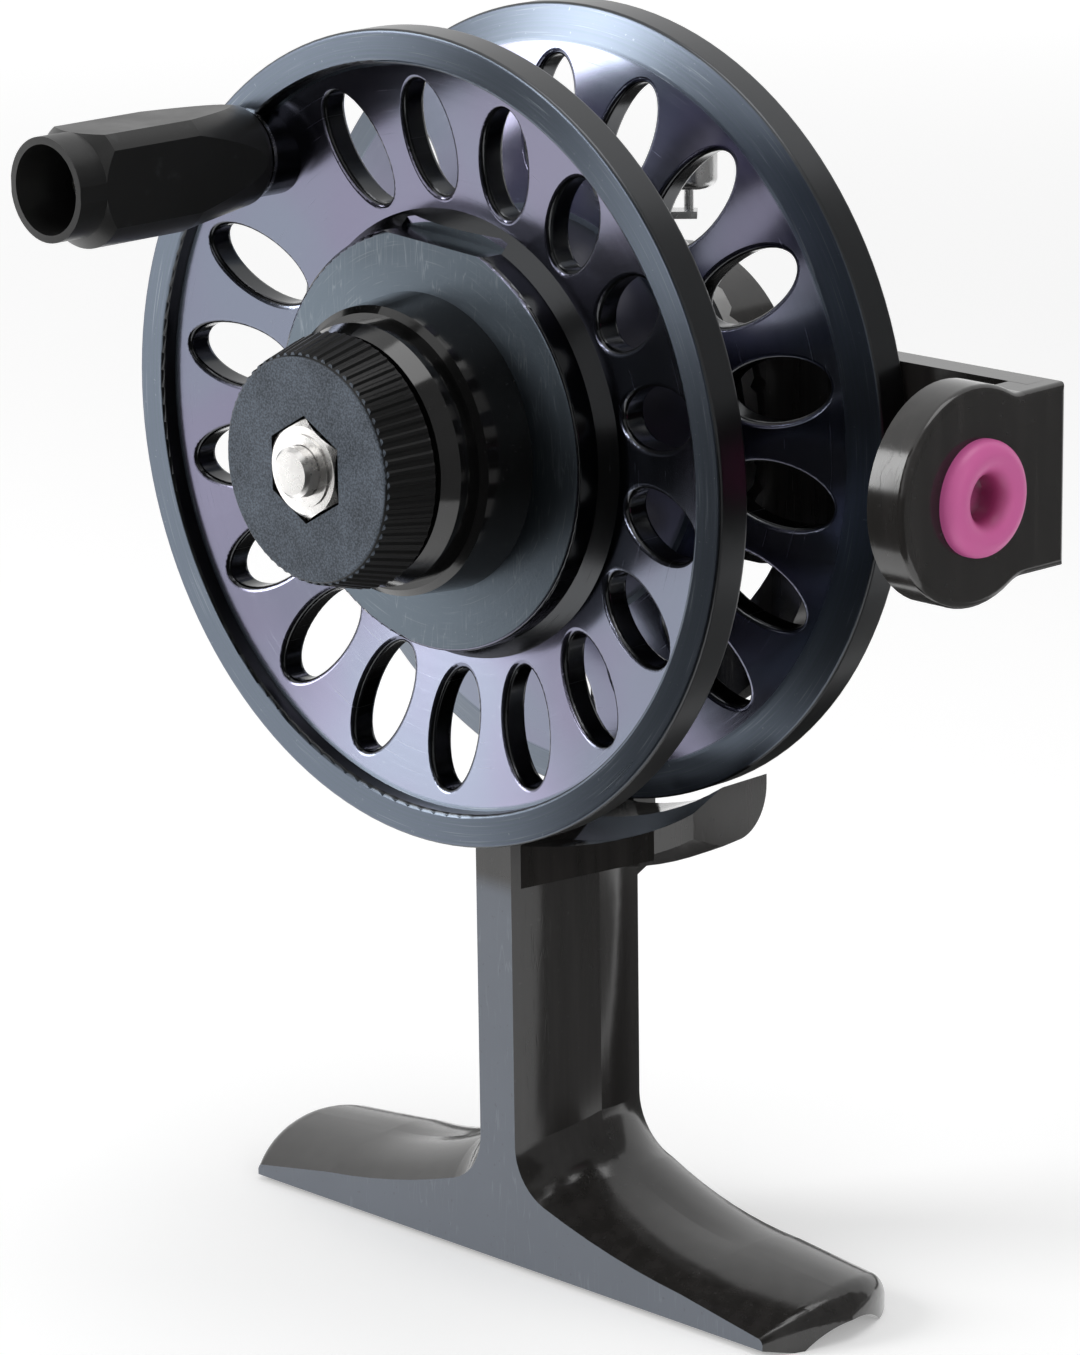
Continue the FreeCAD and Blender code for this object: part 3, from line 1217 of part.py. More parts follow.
click_screw = doc.addObject("PartDesign::Body", "click_lever_screw")
click_screw.Label = "click_lever_screw"
place(click_screw, v.pivot_x, v.pivot_depth, v.lever_height + v.lever_thickness + v.face_gap)
NODES.append(click_screw)
screw_sketch = new_sketch(click_screw, "XZ_Plane")
screw_low = -(v.click_screw_length + v.lever_thickness)
outline(screw_sketch, [
    (ZERO, screw_low), (v.click_screw_radius, screw_low), (v.click_screw_radius, ZERO),
    (v.click_screw_head, ZERO), (v.click_screw_head, v.click_head_height / 2),
    (v.click_screw_head - v.click_head_height / 2, v.click_head_height),
    (ZERO, v.click_head_height)])
feature(click_screw, "Revolution", screw_sketch, ReferenceAxis=(screw_sketch, ["V_Axis"]))

# Checks and STEP files.
doc.recompute()
for item in doc.Objects:
    if "Invalid" in item.State or "Error" in item.State:
        raise RuntimeError("%s is %s" % (item.Label, item.State))
for node in NODES:
    if node.Shape.isNull() or not node.Shape.isValid():
        raise RuntimeError("%s has no valid shape" % node.Label)
for node in NODES:
    node.Shape.exportStep("parts/%s.step" % node.Label)
    print(node.Label, len(node.Shape.Solids), round(node.Shape.Volume, 1))
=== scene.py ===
from math import pi, radians, tau

import bmesh
import bpy
from bpy.props import (
    BoolProperty,
    FloatProperty,
    FloatVectorProperty,
    IntProperty,
    PointerProperty,
)
from mathutils import Matrix, Vector


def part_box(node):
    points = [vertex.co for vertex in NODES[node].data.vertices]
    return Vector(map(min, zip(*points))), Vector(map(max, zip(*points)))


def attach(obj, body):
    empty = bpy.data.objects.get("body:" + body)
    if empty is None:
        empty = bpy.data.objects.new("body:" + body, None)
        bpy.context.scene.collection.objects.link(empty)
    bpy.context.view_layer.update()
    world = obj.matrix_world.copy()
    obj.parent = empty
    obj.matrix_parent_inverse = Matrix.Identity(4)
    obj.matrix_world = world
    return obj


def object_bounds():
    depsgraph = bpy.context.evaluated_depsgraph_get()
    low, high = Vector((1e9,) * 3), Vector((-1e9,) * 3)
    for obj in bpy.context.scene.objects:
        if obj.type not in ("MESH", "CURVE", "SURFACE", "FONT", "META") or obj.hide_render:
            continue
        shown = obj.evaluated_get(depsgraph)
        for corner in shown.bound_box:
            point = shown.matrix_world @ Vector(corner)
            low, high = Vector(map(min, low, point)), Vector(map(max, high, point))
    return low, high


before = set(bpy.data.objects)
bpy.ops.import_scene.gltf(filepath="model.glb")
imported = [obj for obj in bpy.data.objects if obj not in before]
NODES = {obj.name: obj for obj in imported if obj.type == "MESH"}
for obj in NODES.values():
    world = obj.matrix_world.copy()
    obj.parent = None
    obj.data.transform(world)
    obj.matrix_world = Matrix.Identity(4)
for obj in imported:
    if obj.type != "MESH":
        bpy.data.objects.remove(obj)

bl_info = {
    "name": "Ice fishing reel",
    "version": (1, 0, 0),
    "blender": (4, 5, 0),
    "location": "3D View > Sidebar > Reel",
    "description": "Finishes, fine detail, studio and camera for an ice fishing reel",
    "category": "Object",
}

CAD_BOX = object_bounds()
MM = 0.001


def middle(node):
    """The middle of a node's box."""
    low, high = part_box(node)
    return (Vector(low) + Vector(high)) / 2


def width(node, axis):
    """The width of a node's box along an axis."""
    low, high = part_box(node)
    return high[axis] - low[axis]


def dimmed(tone, factor):
    """A colour, made darker or paler by a factor."""
    return [part * factor for part in tone]


AXLE_HEIGHT = middle("spool_rear_flange").z
SPOOL_AXIS = (0, 0, AXLE_HEIGHT)
RING_MIDDLE = middle("guide_ring")
KNOB_FACE_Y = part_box("drag_knob")[0][1]

FRONT = (0, -1, 0)
BACK = (0, 1, 0)
HANDLE_SIDE = (-1, 0, 0)
UP = (0, 0, 1)

# Height over which the painted reflection on the front faces of the foot and stem ends.
PAINTED_SHEEN_LOW, PAINTED_SHEEN_HIGH = 0.032, 0.034

# Knob ribs: vertices to a rib, the part of a rib's pitch that stands proud,
# and the depth of the groove as a share of the rib's height.
RIB_SEGMENTS = 4
RIB_END, RIB_START = 0.4, 0.9
GROOVE_DEPTH = 0.25

MERGE_DISTANCE = 1e-7

# Camera, in millimetres for the sensor and metres for what it sees.
SENSOR_WIDTH = 36.0
CLIP_START, CLIP_END = 0.01, 20.0

# Floor: half its width, and the distances over which its white grows
# far from the reel and fades beside it.
FLOOR_HALF = 2.5
FAR_START, FAR_END = 0.25, 1.4
NEAR_START, NEAR_END = 0.12, 0.40

# Soft boxes: name, direction from the camera's target, distance and size.
LAMPS = (
    ("key", (-0.68, -0.76, 0.42), 0.75, (0.32, 0.40)),
    ("low", (-0.68, -0.72, 0.05), 0.75, (0.30, 0.16)),
    ("top", (0.10, 0.05, 1.0), 0.80, (0.55, 0.45)),
    ("side", (0.95, -0.20, 0.45), 0.85, (0.30, 0.60)),
)

# Boards that the gloss mirrors: name, middle, direction faced, size and tone.
BOARDS = (
    ("board_guide_side", (0.115, 0.0, 0.152), HANDLE_SIDE, (0.60, 0.30), "grey"),
    ("board_front", (0.043, -0.052, 0.038), BACK, (0.134, 0.076), "black"),
    ("board_top", (-0.023, -0.052, 0.101), BACK, (0.022, 0.05), "black"),
    ("board_top_side", (0.0245, -0.052, 0.101), BACK, (0.031, 0.05), "black"),
    ("board_behind", (-0.03, 0.070, 0.001), UP, (0.12, 0.10), "black"),
    ("board_floor_side", (0.090, 0.040, 0.001), UP, (0.11, 0.10), "grey"),
)


def length(name, description, default, **more):
    """A size in metres, given in millimetres."""
    return FloatProperty(
        name=name,
        description=description,
        default=default * MM,
        unit="LENGTH",
        precision=5,
        **more,
    )


def angle(name, description, default):
    """An angle, given in degrees."""
    return FloatProperty(
        name=name, description=description, default=radians(default), subtype="ANGLE"
    )


def share(name, description, default):
    """A share from none to all."""
    return FloatProperty(
        name=name,
        description=description,
        default=default,
        min=0.0,
        max=1.0,
        subtype="FACTOR",
    )


def level(name, description, default):
    """A plain number, such as a lamp's brightness or a framing shift."""
    return FloatProperty(name=name, description=description, default=default)


def colour(name, description, default):
    """A colour as it is written in the base of a finish."""
    return FloatVectorProperty(
        name=name,
        description=description,
        default=default,
        min=0.0,
        max=1.0,
        size=3,
        subtype="COLOR",
    )


class ReelSizes(bpy.types.PropertyGroup):
    """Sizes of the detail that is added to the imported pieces"""

    knurl_ribs: IntProperty(
        name="Knurl Ribs", description="Ribs around the brake knob", default=66, min=12
    )
    knurl_height: length("Knurl Height", "How far a rib stands out of the knob", 0.16)
    knurl_end: length("Knurl End", "Length over which a rib fades at its ends", 0.10)
    knob_front: length("Knob Front", "Radius of the knob at its face", 8.85)
    knob_head: length("Knob Head", "Length of the knob's ribbed head", 4.25)
    knob_edge: length("Knob Edge", "Rounded edge in front of the ribs", 0.22)
    rim_face: length(
        "Rim Face", "Radius where the turned rim of a flange starts", 29.6
    )
    boss_face: length("Boss Face", "Radius of the dull boss on a flange", 16.9)
    throat: length("Ring Throat", "Radius of the line ring's throat", 1.7)


class ReelColours(bpy.types.PropertyGroup):
    """Colours of the reel's finishes"""

    spool: colour("Spool", "Dark anodised spool", (0.172, 0.190, 0.245))
    spool_tint: colour(
        "Spool Tint", "Violet cast in the anodising", (0.178, 0.172, 0.240)
    )
    rim: colour("Rim", "Turned rim of a flange", (0.114, 0.132, 0.170))
    boss: colour("Boss", "Dull turned boss", (0.107, 0.130, 0.155))
    spool_mark: colour(
        "Spool Marks", "Fine marks in the anodising", (0.300, 0.330, 0.360)
    )
    # Painted shade: dark tone for spool faces that don't look along the axis, in place of
    # the dark they mirror.
    painted_edge_shade: colour(
        "Spool Edges", "Outer edges and hole walls", (0.065, 0.067, 0.070)
    )
    cap: colour("Hub Cap", "Glossy black cap", (0.004, 0.004, 0.004))
    knob: colour("Knob", "Knurled black knob", (0.006, 0.006, 0.006))
    knob_face: colour("Knob Face", "Grained face of the knob", (0.056, 0.067, 0.083))
    handle: colour("Handle", "Black handle", (0.012, 0.012, 0.012))
    moulding: colour("Moulding", "Black plastic of the frame", (0.016, 0.015, 0.014))
    # Painted reflection: the pale grey that front light gives the frame's front faces, put
    # in their base colour.
    painted_front_sheen: colour(
        "Front Face", "Dull front faces of the frame", (0.112, 0.129, 0.158)
    )
    guide_ring: colour("Guide Ring", "Pink line ring", (0.760, 0.150, 0.420))
    nickel: colour("Nickel", "Plated nut and axle", (0.960, 0.945, 0.925))
    steel: colour("Steel", "Bright steel", (0.520, 0.520, 0.515))
    fibre: colour("Brake Fibre", "Brown brake washer", (0.180, 0.120, 0.075))
    click_metal: colour(
        "Click Knob", "Bright turned click knob", (0.560, 0.560, 0.560)
    )


class ReelStudio(bpy.types.PropertyGroup):
    """Camera, lamps and background"""

    azimuth: angle("Azimuth", "Camera, turned from the front to the guide side", 44.92)
    elevation: angle("Elevation", "Camera over the horizon", 15.70)
    roll: angle("Roll", "Camera turned about its line of sight", -0.80)
    distance: length("Distance", "Camera to the point it looks at", 431.0)
    target: FloatVectorProperty(
        name="Target",
        description="Point that the camera looks at",
        default=(0.01175, -0.0154, 0.0522),
        size=3,
        subtype="XYZ",
        unit="LENGTH",
    )
    focal_length: level("Focal Length", "Lens, on a sensor of 36 mm", 147.21)
    shift_x: level("Shift X", "Framing to the side", 0.01055)
    shift_y: level("Shift Y", "Framing up", 0.0181)
    world_light: share("World Light", "Even light from all sides", 0.40)
    key_light: level("Key Light", "Soft box at the handle side", 7.5)
    low_light: level("Low Light", "Soft box below the key", 1.6)
    top_light: level("Top Light", "Soft box overhead", 2.4)
    side_light: level("Side Light", "Soft box at the guide side", 1.2)
    floor_colour: colour("Floor", "Pale floor", (0.90, 0.90, 0.90))
    floor_glow: share("Floor Glow", "White that the camera adds to the floor", 0.28)
    far_glow: share("Far Glow", "More of that white far from the reel", 0.75)
    near_glow: share(
        "Near Glow", "White that gloss adds to the floor by the reel", 0.45
    )
    side_board: colour(
        "Side Board", "Board that the guide side mirrors", (0.27, 0.27, 0.27)
    )
    front_board: colour(
        "Front Board", "Board that the hub side mirrors", (0.02, 0.02, 0.02)
    )
    show_lamps: BoolProperty(
        name="Show Lamps", description="Camera sees the lamps", default=False
    )


class Signal:
    """A node's output, which adds, subtracts and multiplies like a number."""

    def __init__(self, finish, socket):
        self.finish = finish
        self.socket = socket

    def math(self, operation, first, second=0.0):
        settings = {"operation": operation}
        return self.finish.node("ShaderNodeMath", settings, {0: first, 1: second})

    def __add__(self, other):
        return self.math("ADD", self, other)

    def __radd__(self, other):
        return self.math("ADD", other, self)

    def __sub__(self, other):
        return self.math("SUBTRACT", self, other)

    def __rsub__(self, other):
        return self.math("SUBTRACT", other, self)

    def __mul__(self, other):
        return self.math("MULTIPLY", self, other)

    def __rmul__(self, other):
        return self.math("MULTIPLY", other, self)

    def __abs__(self):
        return self.math("ABSOLUTE", self)

    def highest(self, other):
        return self.math("MAXIMUM", self, other)


class Finish:
    """One procedural material on the object's own coordinates, in metres."""

    def __init__(self, name):
        self.material = bpy.data.materials.new(name)
        self.material.use_nodes = True
        self.tree = self.material.node_tree
        self.tree.nodes.clear()
        self.place = self.node("ShaderNodeTexCoord", output="Object")

    def node(self, kind, settings=None, sockets=None, output=0):
        """A node with its settings, and its sockets given as values or links."""
        made = self.tree.nodes.new(kind)
        for name, value in (settings or {}).items():
            setattr(made, name, value)
        for name, value in (sockets or {}).items():
            if isinstance(value, Signal):
                self.tree.links.new(value.socket, made.inputs[name])
            elif hasattr(value, "__len__"):
                size = len(made.inputs[name].default_value)
                made.inputs[name].default_value = (*value, 1.0)[:size]
            else:
                made.inputs[name].default_value = value
        return Signal(self, made.outputs[output] if made.outputs else None)

    def along(self, axis):
        """The place along one axis."""
        return self.node(
            "ShaderNodeSeparateXYZ", None, {"Vector": self.place}, output=axis
        )

    def moved(self, vector, location=(0, 0, 0), scale=(1, 1, 1), rotation=(0, 0, 0)):
        """Coordinates after a scale, a turn and a move, as in a Mapping node."""
        sockets = {
            "Vector": vector,
            "Location": location,
            "Rotation": rotation,
            "Scale": scale,
        }
        return self.node("ShaderNodeMapping", {"vector_type": "POINT"}, sockets)

    def size(self, vector):
        """The length of a vector."""
        settings = {"operation": "LENGTH"}
        return self.node("ShaderNodeVectorMath", settings, {0: vector}, output=1)

    def between(self, value, low, high):
        """0 below low, 1 above high, smooth in between."""
        settings = {"interpolation_type": "SMOOTHSTEP"}
        sockets = {"Value": value, "From Min": low, "From Max": high}
        return self.node("ShaderNodeMapRange", settings, sockets)

    def mix(self, factor, first, second):
        """One colour over another."""
        sockets = {0: factor, 6: first, 7: second}
        return self.node("ShaderNodeMix", {"data_type": "RGBA"}, sockets, output=2)

    def noise(self, vector, scale, detail=3.0, roughness=0.55):
        """Even noise, from 0 to 1, with its features one part in scale of a metre."""
        settings = {"noise_dimensions": "3D"}
        sockets = {
            "Vector": vector,
            "Scale": scale,
            "Detail": detail,
            "Roughness": roughness,
        }
        return self.node("ShaderNodeTexNoise", settings, sockets)

    def rings(self, distance, scale, detail=4.0):
        """Uneven fine lines along a distance, such as a radius."""
        settings = {"noise_dimensions": "1D"}
        sockets = {
            "W": distance * scale,
            "Scale": 1.0,
            "Detail": detail,
            "Roughness": 0.7,
        }
        return self.node("ShaderNodeTexNoise", settings, sockets)

    def grains(self, vector, scale):
        """Small round cells, from 0 at their middles."""
        sockets = {"Vector": vector, "Scale": scale}
        return self.node("ShaderNodeTexVoronoi", {"feature": "F1"}, sockets)

    def from_axis(self, centre, across=(1, 0, 1)):
        """Distance from an axis through centre, along the direction not in across."""
        location = [-c * a for c, a in zip(centre, across)]
        return self.size(self.moved(self.place, location=location, scale=across))

    def arcs(self, radius, fine, slow):
        """Noise drawn out around the spool's axis, fine across it and slow around."""
        sideways = self.along("X")
        turn = sideways.math("ARCTAN2", sideways, self.along("Z") - AXLE_HEIGHT)
        drawn_out = self.node(
            "ShaderNodeCombineXYZ", None, {"X": radius * fine, "Y": turn * slow}
        )
        return self.noise(drawn_out, 1.0, detail=2.0, roughness=0.5)

    def facing(self, direction, low, high, both=False):
        """1 where the surface looks along direction, or also against it."""
        normal = self.node("ShaderNodeTexCoord", output="Normal")
        settings = {"operation": "DOT_PRODUCT"}
        sockets = {0: normal, 1: direction}
        dot = self.node("ShaderNodeVectorMath", settings, sockets, output=1)
        return self.between(abs(dot) if both else dot, low, high)

    def scratches(self, directions, spread):
        """Fine straight marks along each direction, 1 on a mark."""
        marks = 0.0
        for number, turn in enumerate(directions):
            turned = self.moved(
                self.place,
                location=[number * step for step in (0.37, 0.11, 0.23)],
                rotation=turn,
                scale=spread,
            )
            line = self.noise(turned, 1.0, detail=2.0, roughness=0.4)
            mark = 1.0 - self.between(abs(line - 0.5), 0.0, 0.02)
            patches = self.noise(self.place, 260.0 + 70.0 * number, 1.0)
            marks = mark * self.between(patches, 0.52, 0.66) + marks
        return self.between(marks, 0.0, 1.0)

    def bumps(self, height, depth, strength, under=None):
        """A normal from a height, depth in metres."""
        sockets = {"Height": height, "Distance": depth, "Strength": strength}
        if under is not None:
            sockets["Normal"] = under
        return self.node("ShaderNodeBump", None, sockets)

    def surface(self, **sockets):
        """The material, ended by a shader with its socket names in lower case."""
        named = {
            name.replace("_", " ").title().replace("Ior", "IOR"): value
            for name, value in sockets.items()
        }
        shader = self.node("ShaderNodeBsdfPrincipled", None, named)
        self.node("ShaderNodeOutputMaterial", None, {"Surface": shader})
        return self.material


def spool_finish(colours, sizes):
    """Dark anodised turning: glossy web, turned rim, dull boss, with shade painted dark on
    the outer edges, hole walls and cone.
    """
    made = Finish("spool_anodised")
    radius = made.from_axis(SPOOL_AXIS)
    rim = made.between(radius, sizes.rim_face - 0.0002, sizes.rim_face)
    # Mask of faces that look along the axis; the other faces get painted shade.
    facing = made.facing(BACK, 0.72, 0.94, both=True)
    flat = made.facing(BACK, 0.9, 0.99, both=True)
    beyond_boss = made.between(radius, sizes.boss_face, sizes.boss_face + 0.0001)
    boss = (1.0 - beyond_boss) * flat
    lines = made.rings(radius, 5200.0)
    broad = made.rings(radius, 900.0, 2.0)
    clouds = made.noise(made.place, 60.0, 2.0)
    arcs = made.between(made.arcs(radius, 6400.0, 3.5), 0.60, 0.74)
    turns = ((0, 0.5, 0), (0, 1.9, 0), (0, -0.9, 0))
    marks = made.scratches(turns, (1500, 900, 130))
    specks = made.between(made.noise(made.place, 3400.0, 1.0), 0.73, 0.79)
    tinted = made.between(clouds, 0.35, 0.65)
    base = made.mix(tinted, colours.spool, colours.spool_tint)
    base = made.mix(boss, base, colours.boss)
    turned = made.mix(made.between(lines, 0.35, 0.65), colours.rim, colours.boss)
    base = made.mix(rim, base, turned)
    base = made.mix(arcs * (0.04 + 0.26 * boss + 0.35 * rim), base, colours.spool_mark)
    base = made.mix(marks * boss * 0.26, base, colours.spool_mark)
    base = made.mix(specks * 0.35, base, colours.spool_mark)
    # Painted shade: outer edges, hole walls and cone take the dark edge tone.
    base = made.mix(facing, colours.painted_edge_shade, base)
    rough = 0.14 + 0.05 * broad + 0.20 * boss + 0.10 * rim + 0.04 * clouds + 0.10 * arcs
    height = lines * (0.08 + 0.62 * rim + 0.35 * boss) + broad * 0.12
    normal = made.bumps(height, 0.000010, 0.5)
    blasted = made.noise(made.place, 3200.0, 3.0) * boss
    normal = made.bumps(blasted, 0.000014, 0.7, normal)
    return made.surface(base_color=base, metallic=1.0, roughness=rough, normal=normal)


def drum_finish(colours):
    """Line drum: anodising darkened with painted shade, with fine turning lines along the
    axis.
    """
    made = Finish("drum_anodised")
    lines = made.rings(made.along("Y"), 4200.0)
    clouds = made.noise(made.place, 80.0, 2.0)
    # Painted shade: the drum between the flanges takes the dark edge tone and a half-dim
    # tint.
    base = made.mix(clouds, colours.painted_edge_shade, dimmed(colours.spool_tint, 0.5))
    normal = made.bumps(lines, 0.00001, 0.6)
    rough = 0.28 + 0.12 * lines
    return made.surface(base_color=base, metallic=1.0, roughness=rough, normal=normal)


def cap_finish(colours):
    """Glossy black cap with faint turning lines."""
    made = Finish("cap_black")
    lines = made.rings(made.along("Y"), 3000.0)
    smears = made.noise(made.place, 420.0, 3.0)
    dust = made.between(made.noise(made.place, 5200.0, 1.0), 0.72, 0.80)
    base = made.mix(dust * 0.35, colours.cap, (0.10, 0.10, 0.10))
    normal = made.bumps(lines * 0.4 + smears, 0.000012, 0.4)
    return made.surface(
        base_color=base,
        roughness=0.07 + 0.10 * smears,
        specular_ior_level=0.60,
        normal=normal,
    )


def knob_finish(colours):
    """Black plastic with a fine grained, paler face."""
    made = Finish("knob_plastic")
    face = made.facing(FRONT, 0.55, 0.9)
    grain = made.grains(made.place, 4600.0)
    fine = made.noise(made.place, 6200.0, 2.0)
    clouds = made.noise(made.place, 300.0, 2.0)
    shade = made.between(clouds, 0.2, 0.8) * 0.3 + made.between(fine, 0.3, 0.7) * 0.6
    dark, pale = dimmed(colours.knob_face, 0.45), dimmed(colours.knob_face, 2.2)
    base = made.mix(face, colours.knob, made.mix(shade, dark, pale))
    height = grain * 0.8 + fine * 0.6
    normal = made.bumps(height * (0.25 + 0.75 * face), 0.00004, 0.8)
    return made.surface(
        base_color=base,
        roughness=0.34 + 0.2 * face + 0.1 * fine,
        specular_ior_level=0.22,
        normal=normal,
    )


def handle_finish(colours):
    """Black plastic with a satin skin and a few rubbed spots."""
    made = Finish("handle_black")
    clouds = made.noise(made.place, 180.0, 3.0)
    fine = made.noise(made.place, 2400.0, 2.0)
    rubbed = made.between(made.noise(made.place, 330.0, 4.0), 0.62, 0.74)
    base = made.mix(rubbed * 0.5, colours.handle, (0.045, 0.047, 0.05))
    normal = made.bumps(clouds * 0.8 + fine * 0.2, 0.00004, 0.6)
    return made.surface(
        base_color=base,
        roughness=0.28 + 0.22 * clouds,
        specular_ior_level=0.40,
        normal=normal,
    )


def moulding_finish(colours):
    """Black moulded plastic: satin sides, dull front faces with fine marks, their paler
    grey a painted reflection.
    """
    made = Finish("frame_plastic")
    above = made.between(made.along("Z"), PAINTED_SHEEN_LOW, PAINTED_SHEEN_HIGH)
    # Mask of the low front faces that carry the painted reflection.
    front = made.facing(FRONT, 0.97, 0.995) * (1.0 - above)
    clouds = made.noise(made.place, 90.0, 3.0)
    streaks = made.noise(made.moved(made.place, scale=(700, 700, 40)), 1.0, 3.0)
    turns = ((0, 0.1, 0), (0, 1.3, 0), (0, -0.7, 0))
    marks = made.scratches(turns, (1200, 900, 90))
    specks = made.between(made.noise(made.place, 2600.0, 1.0), 0.70, 0.78)
    pits = made.between(made.noise(made.place, 1900.0, 1.0), 0.71, 0.78)
    # Paler grey of the front faces: painted reflection of the front light, varied by
    # clouds, with the plastic's own fine marks and specks on it.
    grey = made.mix(clouds, colours.painted_front_sheen, dimmed(colours.painted_front_sheen, 0.8))
    grey = made.mix(marks * 0.15, grey, (0.30, 0.33, 0.36))
    grey = made.mix(specks * 0.4, grey, (0.05, 0.055, 0.06))
    streaked = made.between(streaks, 0.3, 0.8)
    black = made.mix(streaked, colours.moulding, (0.026, 0.024, 0.023))
    black = made.mix(pits * 0.15, black, (0.08, 0.08, 0.08))
    base = made.mix(front, black, grey)
    rough = 0.09 + 0.08 * clouds + 0.04 * streaks + 0.26 * front
    height = clouds * 0.6 + streaks * 0.2 + marks * -0.15
    normal = made.bumps(height, 0.00003, 0.4)
    return made.surface(
        base_color=base, roughness=rough, specular_ior_level=0.55, normal=normal
    )


def ring_finish(colours, sizes):
    """Satin pink line ring, with shade painted darker in its throat."""
    made = Finish("ring_pink")
    radius = made.from_axis(RING_MIDDLE, (0, 1, 1))
    # Painted shade: the ring's colour darkens towards its throat.
    throat = 1.0 - made.between(radius, sizes.throat - 0.0002, sizes.throat + 0.0009)
    fine = made.noise(made.place, 2600.0, 3.0)
    clouds = made.noise(made.place, 240.0, 2.0)
    throat_shade_tone = [c * s for c, s in zip(colours.guide_ring, (0.40, 0.16, 0.26))]
    base = made.mix(throat, colours.guide_ring, throat_shade_tone)
    base = made.mix(clouds * 0.3, base, dimmed(colours.guide_ring, 0.85))
    normal = made.bumps(fine + clouds, 0.00001, 0.5)
    return made.surface(base_color=base, roughness=0.36 + 0.1 * clouds, normal=normal)


def plated_finish(name, tone, axis, roughness=0.22):
    """Bright plated or turned metal, with fine lines around an axis."""
    made = Finish(name)
    lines = made.rings(made.from_axis(axis), 5200.0)
    spots = made.noise(made.place, 900.0, 3.0)
    fine = made.noise(made.place, 6000.0, 2.0)
    dull = made.between(spots, 0.4, 0.75)
    base = made.mix(dull * 0.5, tone, dimmed(tone, 0.80))
    normal = made.bumps(lines * 0.3 + fine * 0.2 + spots, 0.000006, 0.4)
    rough = roughness + 0.14 * dull
    return made.surface(base_color=base, metallic=1.0, roughness=rough, normal=normal)


def fibre_finish(colours):
    """Brown pressed fibre of the brake washer."""
    made = Finish("brake_fibre")
    threads = made.noise(made.moved(made.place, scale=(900, 900, 3000)), 1.0, 4.0)
    flecks = made.noise(made.place, 1800.0, 3.0)
    base = made.mix(threads, colours.fibre, dimmed(colours.fibre, 0.6))
    normal = made.bumps(threads + flecks, 0.00003, 0.8)
    return made.surface(base_color=base, roughness=0.7 + 0.2 * flecks, normal=normal)


def wear(nodes, material):
    """Give CAD nodes one finish."""
    for name in nodes:
        slots = NODES[name].material_slots
        if not slots:
            NODES[name].data.materials.append(material)
        for slot in slots:
            slot.material = material


def placed(shape, name, material):
    """An object in the scene from a bmesh, which it frees."""
    mesh = bpy.data.meshes.new(name)
    shape.to_mesh(mesh)
    shape.free()
    mesh.materials.append(material)
    made = bpy.data.objects.new(name, mesh)
    bpy.context.scene.collection.objects.link(made)
    return made


def object_from(shape, name, material, body):
    """A finished piece from a bmesh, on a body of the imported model."""
    bmesh.ops.remove_doubles(shape, verts=shape.verts, dist=MERGE_DISTANCE)
    bmesh.ops.recalc_face_normals(shape, faces=shape.faces)
    piece = placed(shape, name, material)
    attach(piece, body)


def ribbed_band(ribs, height, fade, back, front):
    """A band of ribs about the spool axis, between two rings given as (radius, y)."""
    shape = bmesh.new()
    circle = bmesh.ops.create_circle(shape, segments=ribs * RIB_SEGMENTS, radius=1.0)
    start = circle["verts"]
    upright = Matrix.Rotation(pi / 2, 3, "X")
    bmesh.ops.rotate(shape, verts=start, cent=(0, 0, 0), matrix=upright)
    edges = list(shape.edges)
    length_y = back[1] - front[1]
    steps = (0.0, fade / length_y, 1.0 - fade / length_y, 1.0)
    rows = [start]
    for _ in steps[1:]:
        grown = bmesh.ops.extrude_edge_only(shape, edges=edges)["geom"]
        rows.append([item for item in grown if isinstance(item, bmesh.types.BMVert)])
        edges = [item for item in grown if isinstance(item, bmesh.types.BMEdge)]
    for row, step in zip(rows, steps):
        radius = front[0] + (back[0] - front[0]) * step
        proud = height if 0.0 < step < 1.0 else 0.0
        for vert in row:
            turn = Vector((vert.co.x, vert.co.z)).angle_signed(Vector((1, 0)))
            place = (turn / tau * ribs) % 1.0
            on_rib = place < RIB_END or place > RIB_START
            rise = proud if on_rib else -GROOVE_DEPTH * proud
            spoke = Vector((vert.co.x, 0, vert.co.z)).normalized() * (radius + rise)
            vert.co = (spoke.x, front[1] + length_y * step, AXLE_HEIGHT + spoke.z)
    return shape


class REEL_OT_camera(bpy.types.Operator):
    """Place the camera at the catalogue view"""

    bl_idname = "reel.camera"
    bl_label = "Camera"

    def execute(self, context):
        studio = context.scene.reel_studio
        data = bpy.data.cameras.new("view")
        camera = bpy.data.objects.new("view", data)
        context.scene.collection.objects.link(camera)
        turn = (
            Matrix.Rotation(studio.azimuth, 4, "Z")
            @ Matrix.Rotation(pi / 2 - studio.elevation, 4, "X")
            @ Matrix.Rotation(studio.roll, 4, "Z")
        )
        away = turn @ Vector((0, 0, studio.distance))
        camera.matrix_world = Matrix.Translation(Vector(studio.target) + away) @ turn
        data.sensor_fit = "AUTO"
        data.sensor_width = SENSOR_WIDTH
        data.lens = studio.focal_length
        data.shift_x = studio.shift_x
        data.shift_y = studio.shift_y
        data.clip_start = CLIP_START
        data.clip_end = CLIP_END
        context.scene.camera = camera
        return {"FINISHED"}


